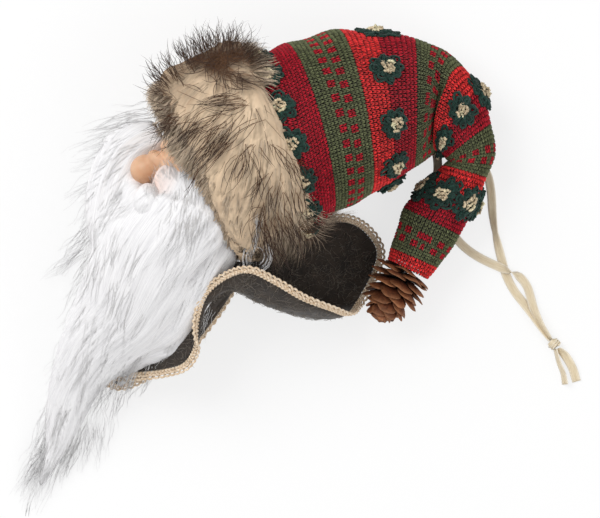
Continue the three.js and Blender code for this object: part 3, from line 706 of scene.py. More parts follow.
filling_body = filling("filling_body", -12, 48)
filling_tail = filling("filling_tail", 45.5, 89.5)
for name in ("knit_side", "knit_bend", "snowflakes_side", "snowflakes_bend"):
    over_bend(knit_pieces[name], ("ornament", "hat_middle"), *FIRST_BEND)
over_bend(filling_body, ("ornament", "hat_middle"), *FIRST_BEND)
for piece in (knit_pieces["knit_tail"], knit_pieces["snowflakes_tail"], filling_tail):
    over_bend(piece, ("hat_middle", "hat_tip"), *SECOND_BEND)
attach(knit_pieces["knit_crown"], "ornament")
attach(knit_pieces["snowflakes_crown"], "ornament")
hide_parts("hat_body_knit")
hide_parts("hat_middle_knit")
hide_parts("hat_tip_knit")
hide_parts("hat_body_stuffing", "hat_middle_stuffing")
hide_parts("hat_tip_stuffing")

# Fur brim: a band of long beige faux fur with dark guard hairs, sewn round the mouth of the hat. Its
# felted underfur is a copy of the brim's own form, combed; the tufts of pile are modelled over it.
BRIM_MIDDLE = np.array([3.6, 12.4, HEAD_HIGH])
BRIM_R = 43.3
BRIM_HALF = 20.5
BRIM_ROUND = 9.0
PILE_DEEP = 5.5
# How the pile lies, in the picture: a place, and the way its hair runs there.
FUR_FLOW = [
    (218, 42, -0.5, -1), (235, 38, 0.2, -1), (255, 48, 0.8, -0.8), (275, 55, 1, -0.5),
    (200, 45, -0.7, -0.8), (180, 55, -1, -0.2), (165, 75, -0.7, 0.5), (160, 105, -0.3, 1),
    (165, 135, 0, 1), (185, 80, -0.5, 0.9), (190, 110, -0.3, 1), (205, 75, -0.5, 0.8),
    (240, 62, 0.9, 0.5), (262, 74, 1, 0.3), (280, 80, 0.9, 0.5), (225, 90, 0.1, 1),
    (210, 130, -0.8, 0.8), (190, 150, -0.8, 0.7), (235, 125, -0.6, 0.9), (260, 110, 0.1, 1),
    (285, 115, 0.3, 1), (300, 145, 0.3, 1), (215, 165, -0.6, 0.8), (235, 170, -0.3, 1),
    (262, 160, -0.1, 1), (250, 205, -0.2, 1), (280, 190, 0.1, 1), (305, 190, 0.4, 1),
    (265, 240, 0, 1), (290, 235, 0.3, 1), (315, 220, 0.9, 0.6), (330, 225, 1, 0.5),
    (285, 260, 0.1, 1), (310, 250, 0.4, 1),
]

flow_at = np.array([seen(x, y) for x, y, _, _ in FUR_FLOW])
flow_way = np.array([(dx, -dy) for _, _, dx, dy in FUR_FLOW], float)
flow_way /= np.linalg.norm(flow_way, axis=1, keepdims=True)
FUR_TURN = 5.0  # how softly the flow turns from one place to the next


def spread_way(places, at, ways, softness):
    """A direction on the table at each place, from the nearest of the given ones."""
    gap = np.linalg.norm(places[:, None, :2] - at[None], axis=2)
    weight = 1 / (gap**2 + softness**2) ** 2
    way = (weight[:, :, None] * ways[None]).sum(axis=1)
    return unit(np.column_stack([way, np.zeros(len(way))]))


def brim_out(places):
    """How far places stand out from the brim's axis and along it, and the way straight out."""
    away = places - BRIM_MIDDLE
    along = away @ HAT_WAY
    aside = away - along[:, None] * HAT_WAY
    reach = np.linalg.norm(aside, axis=1)
    return reach, along, aside / np.maximum(reach, 1e-6)[:, None]


def brim_reach(along):
    """How far the pile stands out from the brim's axis, at places along it."""
    past = np.maximum(np.abs(along) - (BRIM_HALF - BRIM_ROUND), 0)
    return BRIM_R - BRIM_ROUND + np.sqrt(np.maximum(BRIM_ROUND**2 - past**2, 0))


def drawn_in(node, name, inset):
    """A merged, softened copy of a CAD node's form, drawn in from its outside."""
    bpy.ops.object.select_all(action="DESELECT")
    source = frame["nodes"][node]
    source.select_set(True)
    bpy.context.view_layer.objects.active = source
    bpy.ops.object.duplicate()
    piece = bpy.context.object
    piece.name = name
    piece.data.materials.clear()
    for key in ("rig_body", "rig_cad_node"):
        if key in piece:
            del piece[key]
    piece.parent = None
    bpy.ops.object.mode_set(mode="EDIT")
    bpy.ops.mesh.select_all(action="SELECT")
    bpy.ops.mesh.remove_doubles(threshold=0.00001)
    bpy.ops.transform.shrink_fatten(value=-inset * MM)
    bpy.ops.object.mode_set(mode="OBJECT")
    bpy.ops.object.shade_smooth()
    bpy.ops.object.select_all(action="DESELECT")
    return piece


def change(piece, kind, **settings):
    """Adds a modifier to a piece and applies it."""
    bpy.context.view_layer.objects.active = piece
    modifier = piece.modifiers.new(kind.lower(), kind)
    for name, value in settings.items():
        setattr(modifier, name, value)
    bpy.ops.object.modifier_apply(modifier=modifier.name)


def skin_of(piece):
    """A piece's points, the ways out of it there, and the points from the middle of the head."""
    spots, ways = np.empty((2, len(piece.data.vertices) * 3), np.float32)
    piece.data.vertices.foreach_get("co", spots)
    piece.data.vertices.foreach_get("normal", ways)
    spots = spots.reshape(-1, 3).astype(float)
    return spots, ways.reshape(-1, 3).astype(float), (spots - [*HEAD_SHIFT, 0]) / MM


def reshape(piece, spots):
    """Moves a piece's points, keeps them off the table and shades the piece smooth."""
    spots[:, 2] = np.maximum(spots[:, 2], 0.2 * MM)
    piece.data.vertices.foreach_set("co", spots.astype(np.float32).ravel())
    piece.data.update()
    smooth_shade(piece)


def smooth_shade(piece):
    """Shades a piece smooth and leaves nothing selected."""
    bpy.ops.object.select_all(action="DESELECT")
    piece.select_set(True)
    bpy.ops.object.shade_smooth()
    piece.select_set(False)


def chance_at(places, cell, table):
    """Smooth chance values at places, about one to each cell."""
    spot = places / cell
    low = np.floor(spot).astype(int)
    part = spot - low
    total = 0
    for corner in np.ndindex(2, 2, 2):
        weight = np.prod(np.where(corner, part, 1 - part), axis=1)
        total = total + weight * table[tuple(((low + corner) % len(table)).T)]
    return total


def streaks(places, out, cell, reach, table):
    """Chance values drawn out along the pile's flow, so that they make lines on it."""
    total = chance_at(places, cell, table)
    for sense in (-1, 1):
        spot = places
        for _ in range(reach):
            way = spread_way(spot, flow_at, flow_way, FUR_TURN)
            way = unit(way - (way * out).sum(axis=1)[:, None] * out)
            spot = spot + sense * way * cell
            total = total + chance_at(spot, cell, table)
    return (total - total.mean()) / total.std()


# Where the pile is darker in the picture, as its own dye along its top and as painted shade at its lower end by the
# collar: a place, how far it reaches and how dark it is.
FUR_DARK = [
    (200, 60, 15, 1.35), (218, 64, 18, 1.55), (236, 58, 15, 1.35), (252, 62, 12, 1.1), (180, 70, 13, 0.7),
    (182, 92, 17, 0.6), (165, 78, 9, 0.45), (205, 48, 12, 0.7), (230, 76, 10, 0.8), (246, 84, 12, 0.85),
    (258, 88, 8, 0.6), (222, 90, 8, 0.45), (226, 106, 9, 0.25), (210, 106, 8, 0.15), (205, 145, 12, 0.05),
    (182, 140, 10, 0.3), (222, 158, 9, 0.25), (262, 205, 12, 0.4), (276, 222, 14, 0.55), (292, 244, 16, 0.6),
    (270, 250, 12, 0.65), (308, 238, 13, 0.75), (326, 228, 14, 0.9), (345, 222, 14, 0.9), (300, 200, 12, 0.35),
    (316, 200, 8, 0.4), (238, 176, 8, 0.35), (240, 200, 8, 0.3), (310, 180, 7, 0.4),
]
PALE_PILE = [(0, "A08468"), (0.25, "C6AC8E"), (0.7, "DDC8B0"), (1, "CDB698")]
DARK_PILE = [(0, "64442A"), (0.25, "7A5435"), (0.6, "4C3321"), (1, "2A1C13")]
FELTED = ("D3BB9E", "573B25")


def dye_and_painted_shade(places):
    """How dark the pile is at places, from 0 to 1: its dye, and painted shade at its lower end."""
    dark = np.zeros(len(places))
    for x, y, reach, strength in FUR_DARK:
        gap = np.linalg.norm(places[:, :2] - seen(x, y), axis=1) / (reach * PIXEL)
        dark = np.maximum(dark, strength * np.exp(-(gap**2)))
    return dark


# Under its strands the pile lies felted together: a mass with their lines combed into it.
backing, tree, surface = finish_named("felted beige pile", Roughness=0.8, Sheen_Weight=0.06, Specular_IOR_Level=0.2)
shade = put(tree, "ShaderNodeAttribute", attribute_name="yarn")
tree.links.new(shade.outputs["Color"], surface.inputs["Base Color"])
base = drawn_in("fur_brim", "fur_undercoat", 1.6)
change(base, "REMESH", mode="VOXEL", voxel_size=0.62 * MM)
change(base, "SMOOTH", factor=0.5, iterations=6)
spots, ways, places = skin_of(base)
table = np.random.default_rng(8).random((48, 48, 48))
fine = streaks(places, ways, 0.62, 9, table)
tufts = streaks(places, ways, 1.9, 4, table)
spots += ways * (np.clip(fine, -2, 2) * 0.16 + np.clip(tufts, -2, 2) * 0.45)[:, None] * MM
# The felted undercoat takes the same darkening: dye, and painted shade at the brim's lower end.
share = np.clip(dye_and_painted_shade(places) * 0.85 + fine * 0.12 + tufts * 0.12, 0, 1)[:, None]
pale, deep = (np.array(linear(colour)[:3]) for colour in FELTED)
tone = (pale * (1 - share) + deep * share) * (1 + 0.17 * np.clip(fine, -2, 2) + 0.06 * tufts)[:, None]
tone = np.column_stack([np.clip(tone, 0, 0.9), np.ones(len(tone))])
base.data.attributes.new("yarn", "FLOAT_COLOR", "POINT").data.foreach_set("color", np.float32(tone).ravel())
reshape(base, spots)
dress(base, backing, "beige_fur", "fur_brim")

# The outline that the pile keeps to in the picture; only the ends of its hairs stand past it.
FUR_EDGE = [
    (158, 84), (161, 100), (165, 122), (170, 140), (184, 156), (206, 166), (219, 176), (225, 196), (235, 212),
    (246, 226), (262, 240), (268, 256), (282, 268), (304, 260), (324, 242), (350, 234), (354, 216), (335, 212),
    (320, 218), (322, 200), (320, 186), (309, 160), (296, 138), (284, 116), (275, 98), (268, 76), (264, 62),
    (254, 53), (238, 48), (220, 44), (204, 46), (190, 55), (172, 72),
]


def closed_line(points):
    """A smooth closed line through places in the picture."""
    return smoothed([seen(*p) for p in [*points, points[0]]], 160)


def within(edge, places):
    """Which places on the table lie inside a closed line."""
    x, y = places[:, :1], places[:, 1:2]
    x1, y1 = edge[:-1].T
    x2, y2 = edge[1:].T
    rise = np.where(y2 == y1, 1e-9, y2 - y1)
    crossed = ((y1 > y) != (y2 > y)) & (x < (x2 - x1) * (y - y1) / rise + x1)
    return crossed.sum(axis=1) % 2 == 1


fur_edge = closed_line(FUR_EDGE)
HEAD_R = 31.0


def brim_height(plan):
    """Height of the upper side of the pile, or of the head beside it, over places on the table."""
    spots = np.column_stack([plan, np.full(len(plan), BRIM_MIDDLE[2])])
    reach, along, _ = brim_out(spots)
    past = np.abs(along) < BRIM_HALF
    pile = np.where(past, brim_reach(np.clip(along, -BRIM_HALF, BRIM_HALF)) ** 2 - reach**2, 0)
    head = HEAD_R**2 - (plan**2).sum(axis=1)
    return np.maximum(BRIM_MIDDLE[2] + np.sqrt(np.maximum(pile, 4)), HEAD_HIGH + np.sqrt(np.maximum(head, 4)))


def lay_fur(count, steps, length, rng, upright, thick, lift_end, clumps, draw, loose=1.1, across=(-1, 1)):
    """Strands of pile from the backing, lying as the flow says. Those of a tuft draw together."""
    seeds = np.column_stack([rng.uniform(*across, clumps) * (BRIM_HALF - 0.5), rng.uniform(0, 2 * math.pi, clumps)])
    sideways = np.array([-HAT_WAY[1], HAT_WAY[0], 0])
    out = np.cos(seeds[:, 1:]) * UP + np.sin(seeds[:, 1:]) * sideways
    roots = BRIM_MIDDLE + seeds[:, :1] * HAT_WAY * 0.92 + out * brim_reach(seeds[:, 0])[:, None]
    roots = roots[roots[:, 2] > 2.5]
    pick = rng.integers(0, len(roots), count)
    start = roots[pick] + rng.normal(0, loose, (count, 3))
    reach, along, out = brim_out(start)
    start += out * (brim_reach(np.clip(along, -BRIM_HALF, BRIM_HALF)) - PILE_DEEP - reach)[:, None]
    size = length * rng.uniform(0.75, 1.25, len(roots))[pick] * rng.uniform(0.8, 1.2, count) / (steps - 1)
    lean = rng.normal(0, 0.15, (len(roots), 3))[pick] + rng.normal(0, 0.12, (count, 3))
    lines, ways = [start], []
    at = start
    for step in range(steps):
        share = step / (steps - 1)
        _, along, out = brim_out(at)
        out = unit(out + HAT_WAY * (np.clip(along, -BRIM_HALF, BRIM_HALF) / BRIM_HALF)[:, None] * 0.35)
        ways.append(out)
        if step == steps - 1:
            break
        way = spread_way(at, flow_at, flow_way, FUR_TURN)
        way = unit(way - (way * out).sum(axis=1)[:, None] * out * 0.8)
        rise = upright * (1 - share) ** 1.3 + lift_end
        size = np.where(within(fur_edge, at), size, size * 0.6)
        at = at + unit(way + out * rise + lean) * size[:, None]
        lines.append(at)
    lines = np.stack(lines, axis=1)
    middle = roots[pick][:, None] + (lines - start[:, None]) - brim_out(roots[pick])[2][:, None] * PILE_DEEP
    pull = np.linspace(0, 1, steps)[None, :, None] ** 1.4 * draw
    lines = lines * (1 - pull) + middle * pull
    lines[..., 2] = np.maximum(lines[..., 2], 0.25)
    taper = np.interp(np.linspace(0, 1, steps), [0, 0.3, 0.7, 1], [0.8, 1.0, 0.8, 0.15])
    return lines, np.stack(ways, axis=1), thick * taper[None] * rng.uniform(0.7, 1.2, (count, 1))


def hair_shades(stops, steps, count, rng, spread):
    """Colours from root to tip, each strand a little lighter or darker than the next."""
    shares = np.linspace(0, 1, steps)
    colours = np.array([linear(colour)[:3] for _, colour in stops])
    at = [share for share, _ in stops]
    line = np.stack([np.interp(shares, at, colours[:, i]) for i in range(3)], axis=1)
    return line[None] * rng.uniform(1 - spread, 1 + spread, (count, 1, 1))


def lean_to(tree, surface, share):
    """Turns a strand's normal towards the way out of the pile it lies in, kept as the attribute nap."""
    own = put(tree, "ShaderNodeNewGeometry")
    nap = put(tree, "ShaderNodeAttribute", attribute_name="nap")
    normals = {0: share, 4: own.outputs["Normal"], 5: nap.outputs["Vector"]}
    both = put(tree, "ShaderNodeMix", normals, data_type="VECTOR")
    flat = put(tree, "ShaderNodeVectorMath", {0: both.outputs[1]}, operation="NORMALIZE")
    tree.links.new(flat.outputs[0], surface.inputs["Normal"])


def pile_piece(name, lines, nap, radii, shades, finish, slot):
    """Strands as one object that keeps the way out of its pile as the attribute nap."""
    piece = strand_piece(name, lines, radii, shades, facing=nap, flat=0.35)
    ways = np.repeat(nap[:, :, None], 3, axis=2)
    piece.data.attributes.new("nap", "FLOAT_VECTOR", "POINT").data.foreach_set("vector", np.float32(ways).ravel())
    dress(piece, finish, slot)


# Modacrylic pile with a soft, dry shine. Its light fibres let light through, so they shade softly.
fur, tree, surface = strand_finish(
    "beige faux fur", 6, 2.0, 0.0, (0.3, 0.7, 0.85, 1.1), Roughness=0.6, Sheen_Weight=0.06, Specular_IOR_Level=0.25
)
lean_to(tree, surface, 0.7)

chance = np.random.default_rng(21)
FUR_COUNT = 6000
FUR_STEPS = 5
FUR_LONG = 11.5
FUR_BANDS = [(-1, 1), (-1, 1), (-1, -0.5)]  # across the brim, of which the last thickens its front edge
for number, across in enumerate(FUR_BANDS):
    lines, nap, radii = lay_fur(
        FUR_COUNT, FUR_STEPS, FUR_LONG, chance, 0.3, 0.19, -0.1, clumps=700, draw=0.3, loose=1.4, across=across
    )
    pale = hair_shades(PALE_PILE, FUR_STEPS, FUR_COUNT, chance, 0.2)
    deep = hair_shades(DARK_PILE, FUR_STEPS, FUR_COUNT, chance, 0.25)
    # The strands take the same dye and painted shade as the undercoat.
    share = np.clip(0.85 * dye_and_painted_shade(lines[:, 2]) + chance.normal(0, 0.12, FUR_COUNT), 0, 1)[:, None, None]
    pile_piece(f"fur_pile_{number + 1}", lines, nap, radii, pale * (1 - share) + deep * share, fur, "beige_fur")

# Guard hairs: longer, stiff and nearly black, in tufts. Each tuft, in the picture: where its hairs
# leave the pile, where they end, how many, and how far they spread.
GUARD_TUFTS = [
    (167, 86, 150, 69, 38, 6), (177, 78, 166, 58, 34, 6), (190, 67, 178, 44, 42, 6), (201, 60, 194, 36, 42, 6),
    (208, 57, 202, 29, 26, 5), (216, 55, 214, 32, 38, 6), (224, 55, 226, 32, 36, 6), (234, 56, 236, 30, 26, 5),
    (238, 56, 252, 34, 30, 5), (244, 58, 262, 46, 32, 5), (254, 64, 272, 56, 18, 5), (170, 99, 150, 92, 22, 6),
    (174, 112, 154, 116, 26, 6), (177, 126, 150, 134, 26, 5), (186, 83, 211, 100, 4, 3),
    (244, 104, 196, 108, 18, 4), (232, 100, 200, 112, 6, 4), (222, 66, 190, 72, 15, 8),
    (222, 66, 205, 58, 12, 7), (225, 70, 250, 62, 12, 8), (225, 74, 258, 80, 15, 7), (240, 84, 262, 92, 11, 6),
    (222, 70, 222, 92, 12, 7), (232, 78, 236, 100, 8, 6), (205, 62, 180, 78, 12, 7),
    (206, 118, 176, 142, 11, 7), (198, 122, 170, 150, 11, 7), (176, 118, 152, 150, 9, 3),
    (200, 128, 180, 150, 9, 3), (214, 130, 188, 160, 11, 6), (222, 140, 196, 172, 12, 6),
    (214, 150, 190, 180, 9, 4), (232, 136, 205, 170, 9, 6), (240, 120, 212, 150, 7, 6),
    (225, 118, 192, 136, 6, 6), (262, 124, 216, 162, 4, 3), (206, 168, 193, 196, 4, 3),
    (244, 158, 229, 196, 8, 4), (248, 150, 236, 185, 5, 5), (262, 150, 256, 185, 4, 5),
    (266, 152, 286, 176, 4, 4), (250, 158, 262, 190, 4, 4), (276, 150, 290, 185, 5, 5),
    (290, 165, 306, 196, 6, 6), (300, 160, 318, 190, 5, 4), (262, 180, 240, 212, 4, 5),
    (268, 178, 258, 215, 7, 5), (280, 190, 274, 225, 8, 6), (292, 195, 296, 228, 8, 6),
    (306, 190, 312, 220, 6, 5), (266, 205, 256, 236, 7, 5), (272, 220, 282, 262, 25, 7),
    (285, 222, 300, 256, 25, 7), (262, 226, 270, 262, 15, 5), (300, 232, 340, 214, 23, 5),
    (304, 240, 348, 222, 25, 5), (296, 246, 330, 240, 15, 6), (275, 245, 290, 270, 14, 5),
    (268, 210, 250, 222, 4, 4),
]
GUARD_STEPS = 6
STRAY_COUNT = 600


def tufts_at(rows, gather, rng):
    """Where the hairs of tufts start and end on the table. Their ends spread by gather of their starts."""
    starts, ends = [], []
    for x1, y1, x2, y2, count, spread, *_ in rows:
        first = rng.normal(0, spread * PIXEL, (count, 2))
        starts.append(seen(x1, y1) + first)
        ends.append(seen(x2, y2) + first * gather + rng.normal(0, spread * gather * PIXEL, (count, 2)))
    return np.vstack(starts), np.vstack(ends)


def bowed(starts, run, share, rng):
    """Lines on the table, each bowed a little to one side."""
    bow = np.column_stack([-run[:, 1], run[:, 0]]) * rng.normal(0, 0.12, (len(run), 1))
    share = share[:, None]
    return starts[:, None] + run[:, None] * share + bow[:, None] * (4 * share * (1 - share))


starts, ends = tufts_at(GUARD_TUFTS, 0.7, chance)
count = len(starts)
share = np.linspace(0, 1, GUARD_STEPS)
run = (ends - starts) * chance.uniform(0.6, 1.15, (count, 1))
plan = bowed(starts, run, share, chance)
height = brim_height(plan.reshape(-1, 2)).reshape(count, GUARD_STEPS)
fall = height[:, :1] - 0.45 * np.linalg.norm(run, axis=1)[:, None] * share
lift = np.interp(share, [0, 0.3, 1], [-1.5, 0.4, 1.0])
height = np.maximum(height, fall) + lift + chance.uniform(0, 1.2, (count, 1)) * share
lines = np.dstack([plan, height])
ways = brim_out(lines.reshape(-1, 3))[2].reshape(lines.shape)
radii = np.interp(share, [0, 0.3, 0.7, 1], [0.1, 0.15, 0.13, 0.03]) * chance.uniform(0.7, 1.2, (count, 1))
shades = hair_shades([(0, "7A502E"), (0.25, "4A2F1C"), (1, "24150D")], GUARD_STEPS, count, chance, 0.3)
pile_piece("fur_guard_hairs", lines, ways, radii, shades, fur, "beige_fur")
lines, nap, radii = lay_fur(STRAY_COUNT, FUR_STEPS, 13.0, chance, 0.45, 0.12, 0.05, clumps=500, draw=0.2)
shades = hair_shades([(0, "8F6840"), (0.4, "553A24"), (1, "24150D")], FUR_STEPS, STRAY_COUNT, chance, 0.3)
pile_piece("fur_stray_hairs", lines, nap, radii, shades, fur, "beige_fur")

# Beard: very long, fine, silky white pile on a backing glued round the face. It sweeps over the
# collar in loose locks that end in wisps, and the table spreads the far cheek's side past the nose.
# A closed white mass carries it, and every lock is modelled over it.
BEARD_NEAR = [
    (-8, 4, 37.3, 24, 31), (-13, -9.6, 37.3, 26.5, 34), (-30, -31, 34.5, 26, 28.5), (-41.6, -52, 27.5, 22.4, 21),
    (-56.2, -68.6, 20, 15, 14), (-65.6, -85.2, 10.6, 10, 10.8), (-70.4, -104.4, 6, 7, 6.6),
    (-77.6, -122, 3, 4.2, 3.6), (-84, -136, 1.5, 2.5, 1.5),
]
BEARD_FAR = [
    (-22, 26, 20, 10, 12), (-27, 18, 21, 12, 13), (-37, 12, 20, 15, 14.5), (-43.6, 0, 20.4, 15, 15.5),
    (-46, -14, 22.6, 13.4, 17), (-46, -28, 25, 11, 18),
]
# Locks in the picture, from where they leave the face.
NEAR_GUIDES = [
    [(140, 205), (118, 230), (104, 260), (92, 300), (80, 345), (62, 385), (48, 430), (25, 490)],
    [(160, 225), (140, 260), (120, 310), (100, 370), (75, 430), (45, 480)],
    [(185, 165), (185, 210), (168, 260), (145, 310), (118, 370), (90, 430), (66, 464)],
    [(205, 170), (208, 220), (190, 275), (165, 325), (135, 375), (105, 430), (88, 460)],
    [(228, 185), (244, 228), (228, 262), (198, 306), (172, 346), (140, 388), (118, 402)],
]
FAR_GUIDES = [
    [(176, 112), (150, 120), (120, 134), (80, 148)],
    [(166, 124), (138, 134), (110, 150), (76, 164)],
    [(150, 140), (122, 158), (98, 178), (72, 196)],
    [(142, 160), (116, 186), (99, 215), (90, 250)],
    [(140, 185), (116, 215), (102, 250), (90, 300)],
]
# The outlines that the two masses of hair keep to in the picture; only their ends stand past them.
NEAR_EDGE = [
    (150, 180), (128, 196), (108, 220), (96, 250), (86, 290), (76, 330), (66, 362), (52, 400), (40, 440),
    (24, 488), (34, 496), (52, 482), (66, 462), (86, 462), (100, 440), (112, 414), (128, 402), (116, 392),
    (122, 378), (150, 366), (176, 344), (196, 312), (218, 276), (240, 262), (262, 262), (262, 225),
    (245, 190), (225, 160), (205, 140), (188, 158), (176, 172), (168, 186),
]
FAR_EDGE = [
    (182, 100), (152, 112), (124, 126), (104, 148), (95, 180), (88, 220), (84, 262), (92, 280),
    (130, 240), (150, 200), (160, 150), (180, 130),
]


class Mass:
    """One mass of the beard: its middle line, the way its locks run and its outline."""

    def __init__(self, stations, guides, edge):
        self.line = smoothed(stations, 140)
        lines = [smoothed([seen(*p) for p in guide], 30) for guide in guides]
        self.at = np.vstack(lines)
        self.way = np.vstack([unit(np.gradient(line, axis=0)) for line in lines])
        self.edge = closed_line(edge)

    def surface(self, places, level):
        """Height on the mass at places on the table, level -1 for its underside to 1 for its top, and
        the way out of it there."""
        gap = places[:, None, :2] - self.line[None, :, :2]
        near = np.linalg.norm(gap, axis=2).argmin(axis=1)
        gap = gap[np.arange(len(places)), near]
        _, _, middle, half, rise = self.line[near].T
        off = np.linalg.norm(gap, axis=1) / half
        dome = np.sqrt(np.maximum(1 - np.minimum(off, 1) ** 2, 0))
        height = middle * np.exp(-0.7 * np.maximum(off - 1, 0)) + level * rise * np.maximum(dome, 0.1)
        out = np.column_stack([gap / half[:, None] ** 2, level * np.maximum(dome, 0.1) / rise])
        return height, unit(out)


near_mass = Mass(BEARD_NEAR, NEAR_GUIDES, NEAR_EDGE)
far_mass = Mass(BEARD_FAR, FAR_GUIDES, FAR_EDGE)

# Acrylic pile: white, translucent and very fine, so its shade is soft and no strand stands out. Its
# normals lean to the mass's own, as light does that passes through many fibres.
silk, tree, surface = strand_finish(
    "white silky acrylic pile", 7, 2.0, 0.0, (0.3, 0.7, 0.95, 1.0),
    Roughness=0.55, Sheen_Weight=0.15, Specular_IOR_Level=0.25,
)
lean_to(tree, surface, 0.85)

# The mass under the locks is the same pile, felted together: its fibres are drawn 0.5 mm apart.
UNDERCOAT = [(0.3, "DAD9DB"), (0.55, "ECEBEC"), (0.75, "F4F3F3")]
THIN_PILE = (-27, -1, 52)
undercoat, tree, surface = finish_named("white undercoat", Roughness=0.8, Sheen_Weight=0.15)
place = put(tree, "ShaderNodeAttribute", attribute_name="pile")
stretch = put(tree, "ShaderNodeMapping", {"Vector": place.outputs["Vector"], "Scale": (1 / 0.5, 1 / 14, 1)})
fibres = put(tree, "ShaderNodeTexNoise", {"Vector": stretch.outputs[0], "Scale": 1.0, "Detail": 4.0, "Distortion": 0.4})
tint = put(tree, "ShaderNodeValToRGB", {0: fibres.outputs["Fac"]}, stops=UNDERCOAT)
# Beside the nose the pile is thin, and the skin's pink shows through it.
spot = put(tree, "ShaderNodeTexCoord")
gap = put(tree, "ShaderNodeVectorMath", {0: spot.outputs["Object"], 1: tuple(row(THIN_PILE))}, operation="DISTANCE")
ends = {"From Min": 3 * MM, "From Max": 13 * MM, "To Min": 0.9, "To Max": 0.0}
thin = put(tree, "ShaderNodeMapRange", {"Value": gap.outputs["Value"], **ends})
pink = put(tree, "ShaderNodeMix", {0: thin.outputs[0], 6: tint.outputs[0], 7: linear("F0D2C4")}, data_type="RGBA")
tree.links.new(pink.outputs[2], surface.inputs["Base Color"])
ridges = put(tree, "ShaderNodeBump", {"Height": fibres.outputs["Fac"], "Strength": 0.4, "Distance": 0.0005})
tree.links.new(ridges.outputs[0], surface.inputs["Normal"])


def combed(piece, deep):
    """Softens a mass, combs ridges along it and draws its end to a point; keeps the way round and
    along it as pile."""
    change(piece, "REMESH", mode="VOXEL", voxel_size=1.0 * MM)
    change(piece, "SMOOTH", factor=0.5, iterations=36)
    spots, ways, places = skin_of(piece)
    nearest, kept, middle = np.full(len(places), 1e9), np.zeros((len(places), 3)), np.zeros((len(places), 4))
    for hair in (near_mass, far_mass):
        line = hair.line
        gaps = places[:, None] - line[None, :, :3]
        size = np.linalg.norm(gaps, axis=2) / line[None, :, 3]
        near = size.argmin(axis=1)
        size = size[np.arange(len(places)), near]
        gap = gaps[np.arange(len(places)), near]
        along = unit(np.gradient(line[:, :2], axis=0))[near]
        angle = np.arctan2(gap[:, 0] * along[:, 1] - gap[:, 1] * along[:, 0], gap[:, 2])
        gone = gone_along(line[:, :3])[near]
        mine = size < nearest
        nearest = np.minimum(size, nearest)
        kept[mine] = np.column_stack([angle * line[near, 3], gone, angle])[mine]
        middle[mine] = np.column_stack([line[near, :3], near / len(line) * (hair is near_mass)])[mine]
    width, gone, angle = kept.T
    comb = 0.5 * np.sin(13 * angle + 1.6 * np.sin(gone / 13)) + 0.32 * np.sin(29 * angle + 2.2 * np.sin(gone / 9 + 1))
    comb += 0.25 * np.sin(width / 0.9 + 2.5 * np.sin(gone / 11 + angle * 3))
    spots += ways * (comb * deep * MM)[:, None]
    drawn = 0.75 * step_up(middle[:, 3:], 0.72, 0.97)
    spots = spots * (1 - drawn) + (middle[:, :3] * MM + [*HEAD_SHIFT, 0]) * drawn
    kept[:, 2] = 0
    piece.data.attributes.new("pile", "FLOAT_VECTOR", "POINT").data.foreach_set("vector", np.float32(kept).ravel())
    reshape(piece, spots)


# Hair that the CAD mass leaves out: along the collar's near lobe, and over the near cheek.
SIDE_LOCK = [
    (0.4, -19.8, 45, 6.0), (-4.4, -29, 43.5, 7.0), (-11.6, -38.6, 41.5, 7.5), (-16.8, -47.4, 37, 7.4),
    (-21, -57, 31, 7.0), (-26.4, -64.2, 25, 6.2), (-33.8, -68.4, 19.5, 5.2), (-41.2, -74.4, 14, 3.8),
    (-46, -82, 8, 1.8),
]
INNER_LOCK = [
    (-6, -14, 46, 8), (-9, -26, 44.5, 9.5), (-14, -38, 41.5, 9.5), (-20, -50, 35.5, 9), (-27, -60, 28, 7.5),
    (-34, -68, 21, 5),
]
# Where the pile is puffed up, and half its size there: over the near cheek, above it, under the nose.
PUFFS = [
    ((-12.0, -9.0, 51), (15.0, 18.0, 18.0)),
    ((-23.6, -1.0, 50), (7.4, 8.6, 11.6)),
    ((-38.4, -4.2, 32), (6.0, 7.0, 11.0)),
]
LIP_PUFF = (-32.6, -7.6)


def ball(centre, size, segments=32, rings=20, turned=0):
    """A ball at a place, with half its sizes in millimetres, turned by some degrees."""
    bpy.ops.mesh.primitive_uv_sphere_add(
        segments=segments, ring_count=rings, radius=MM, location=row(centre), scale=size,
        rotation=(0, 0, math.radians(turned)),
    )
    return bpy.context.object


def apply_place():
    """Takes the place, turn and size of what is selected into its mesh."""
    bpy.ops.object.transform_apply(location=True, rotation=True, scale=True)


def join_to(main, others):
    """Makes other objects part of a main one."""
    for piece in (main, *others):
        piece.select_set(True)
    bpy.context.view_layer.objects.active = main
    bpy.ops.object.join()
    bpy.ops.object.select_all(action="DESELECT")


mass = drawn_in("beard", "beard_undercoat", 0.6)
lines = np.stack([smoothed(lock, 60) for lock in (SIDE_LOCK, INNER_LOCK)])
points, faces = tubes(lines[..., :3], lines[..., 3], 16)
side_lock = mesh_piece("side_lock", points, faces)
puffs = []
for centre, size in PUFFS:
    puffs.append(ball(centre, size))
    apply_place()
join_to(mass, [*puffs, side_lock])
lip = drawn_in("moustache", "moustache_undercoat", 0.2)
height, _ = near_mass.surface(np.array([LIP_PUFF]), 1.0)
puff = ball((*LIP_PUFF, height[0] - 5.5), (6.2, 7.8, 8.0))
apply_place()
join_to(lip, [puff])
for piece, node, deep in ((mass, "beard", 0.5), (lip, "moustache", 0.25)):
    combed(piece, deep)
    dress(piece, undercoat, "white_pile", node)


def tree_of(pieces):
    """The pieces' faces, kept so that strands can be dropped onto them."""
    points, faces = [], []
    for piece in pieces:
        faces += [[index + len(points) for index in polygon.vertices] for polygon in piece.data.polygons]
        points += [vertex.co[:] for vertex in piece.data.vertices]
    return BVHTree.FromPolygons(points, faces)


coat = tree_of([mass, lip])
DROP_FROM = 0.15  # metres; strands are dropped from here
DOWN = (0, 0, -1)
STRAND_LOW = 0.4


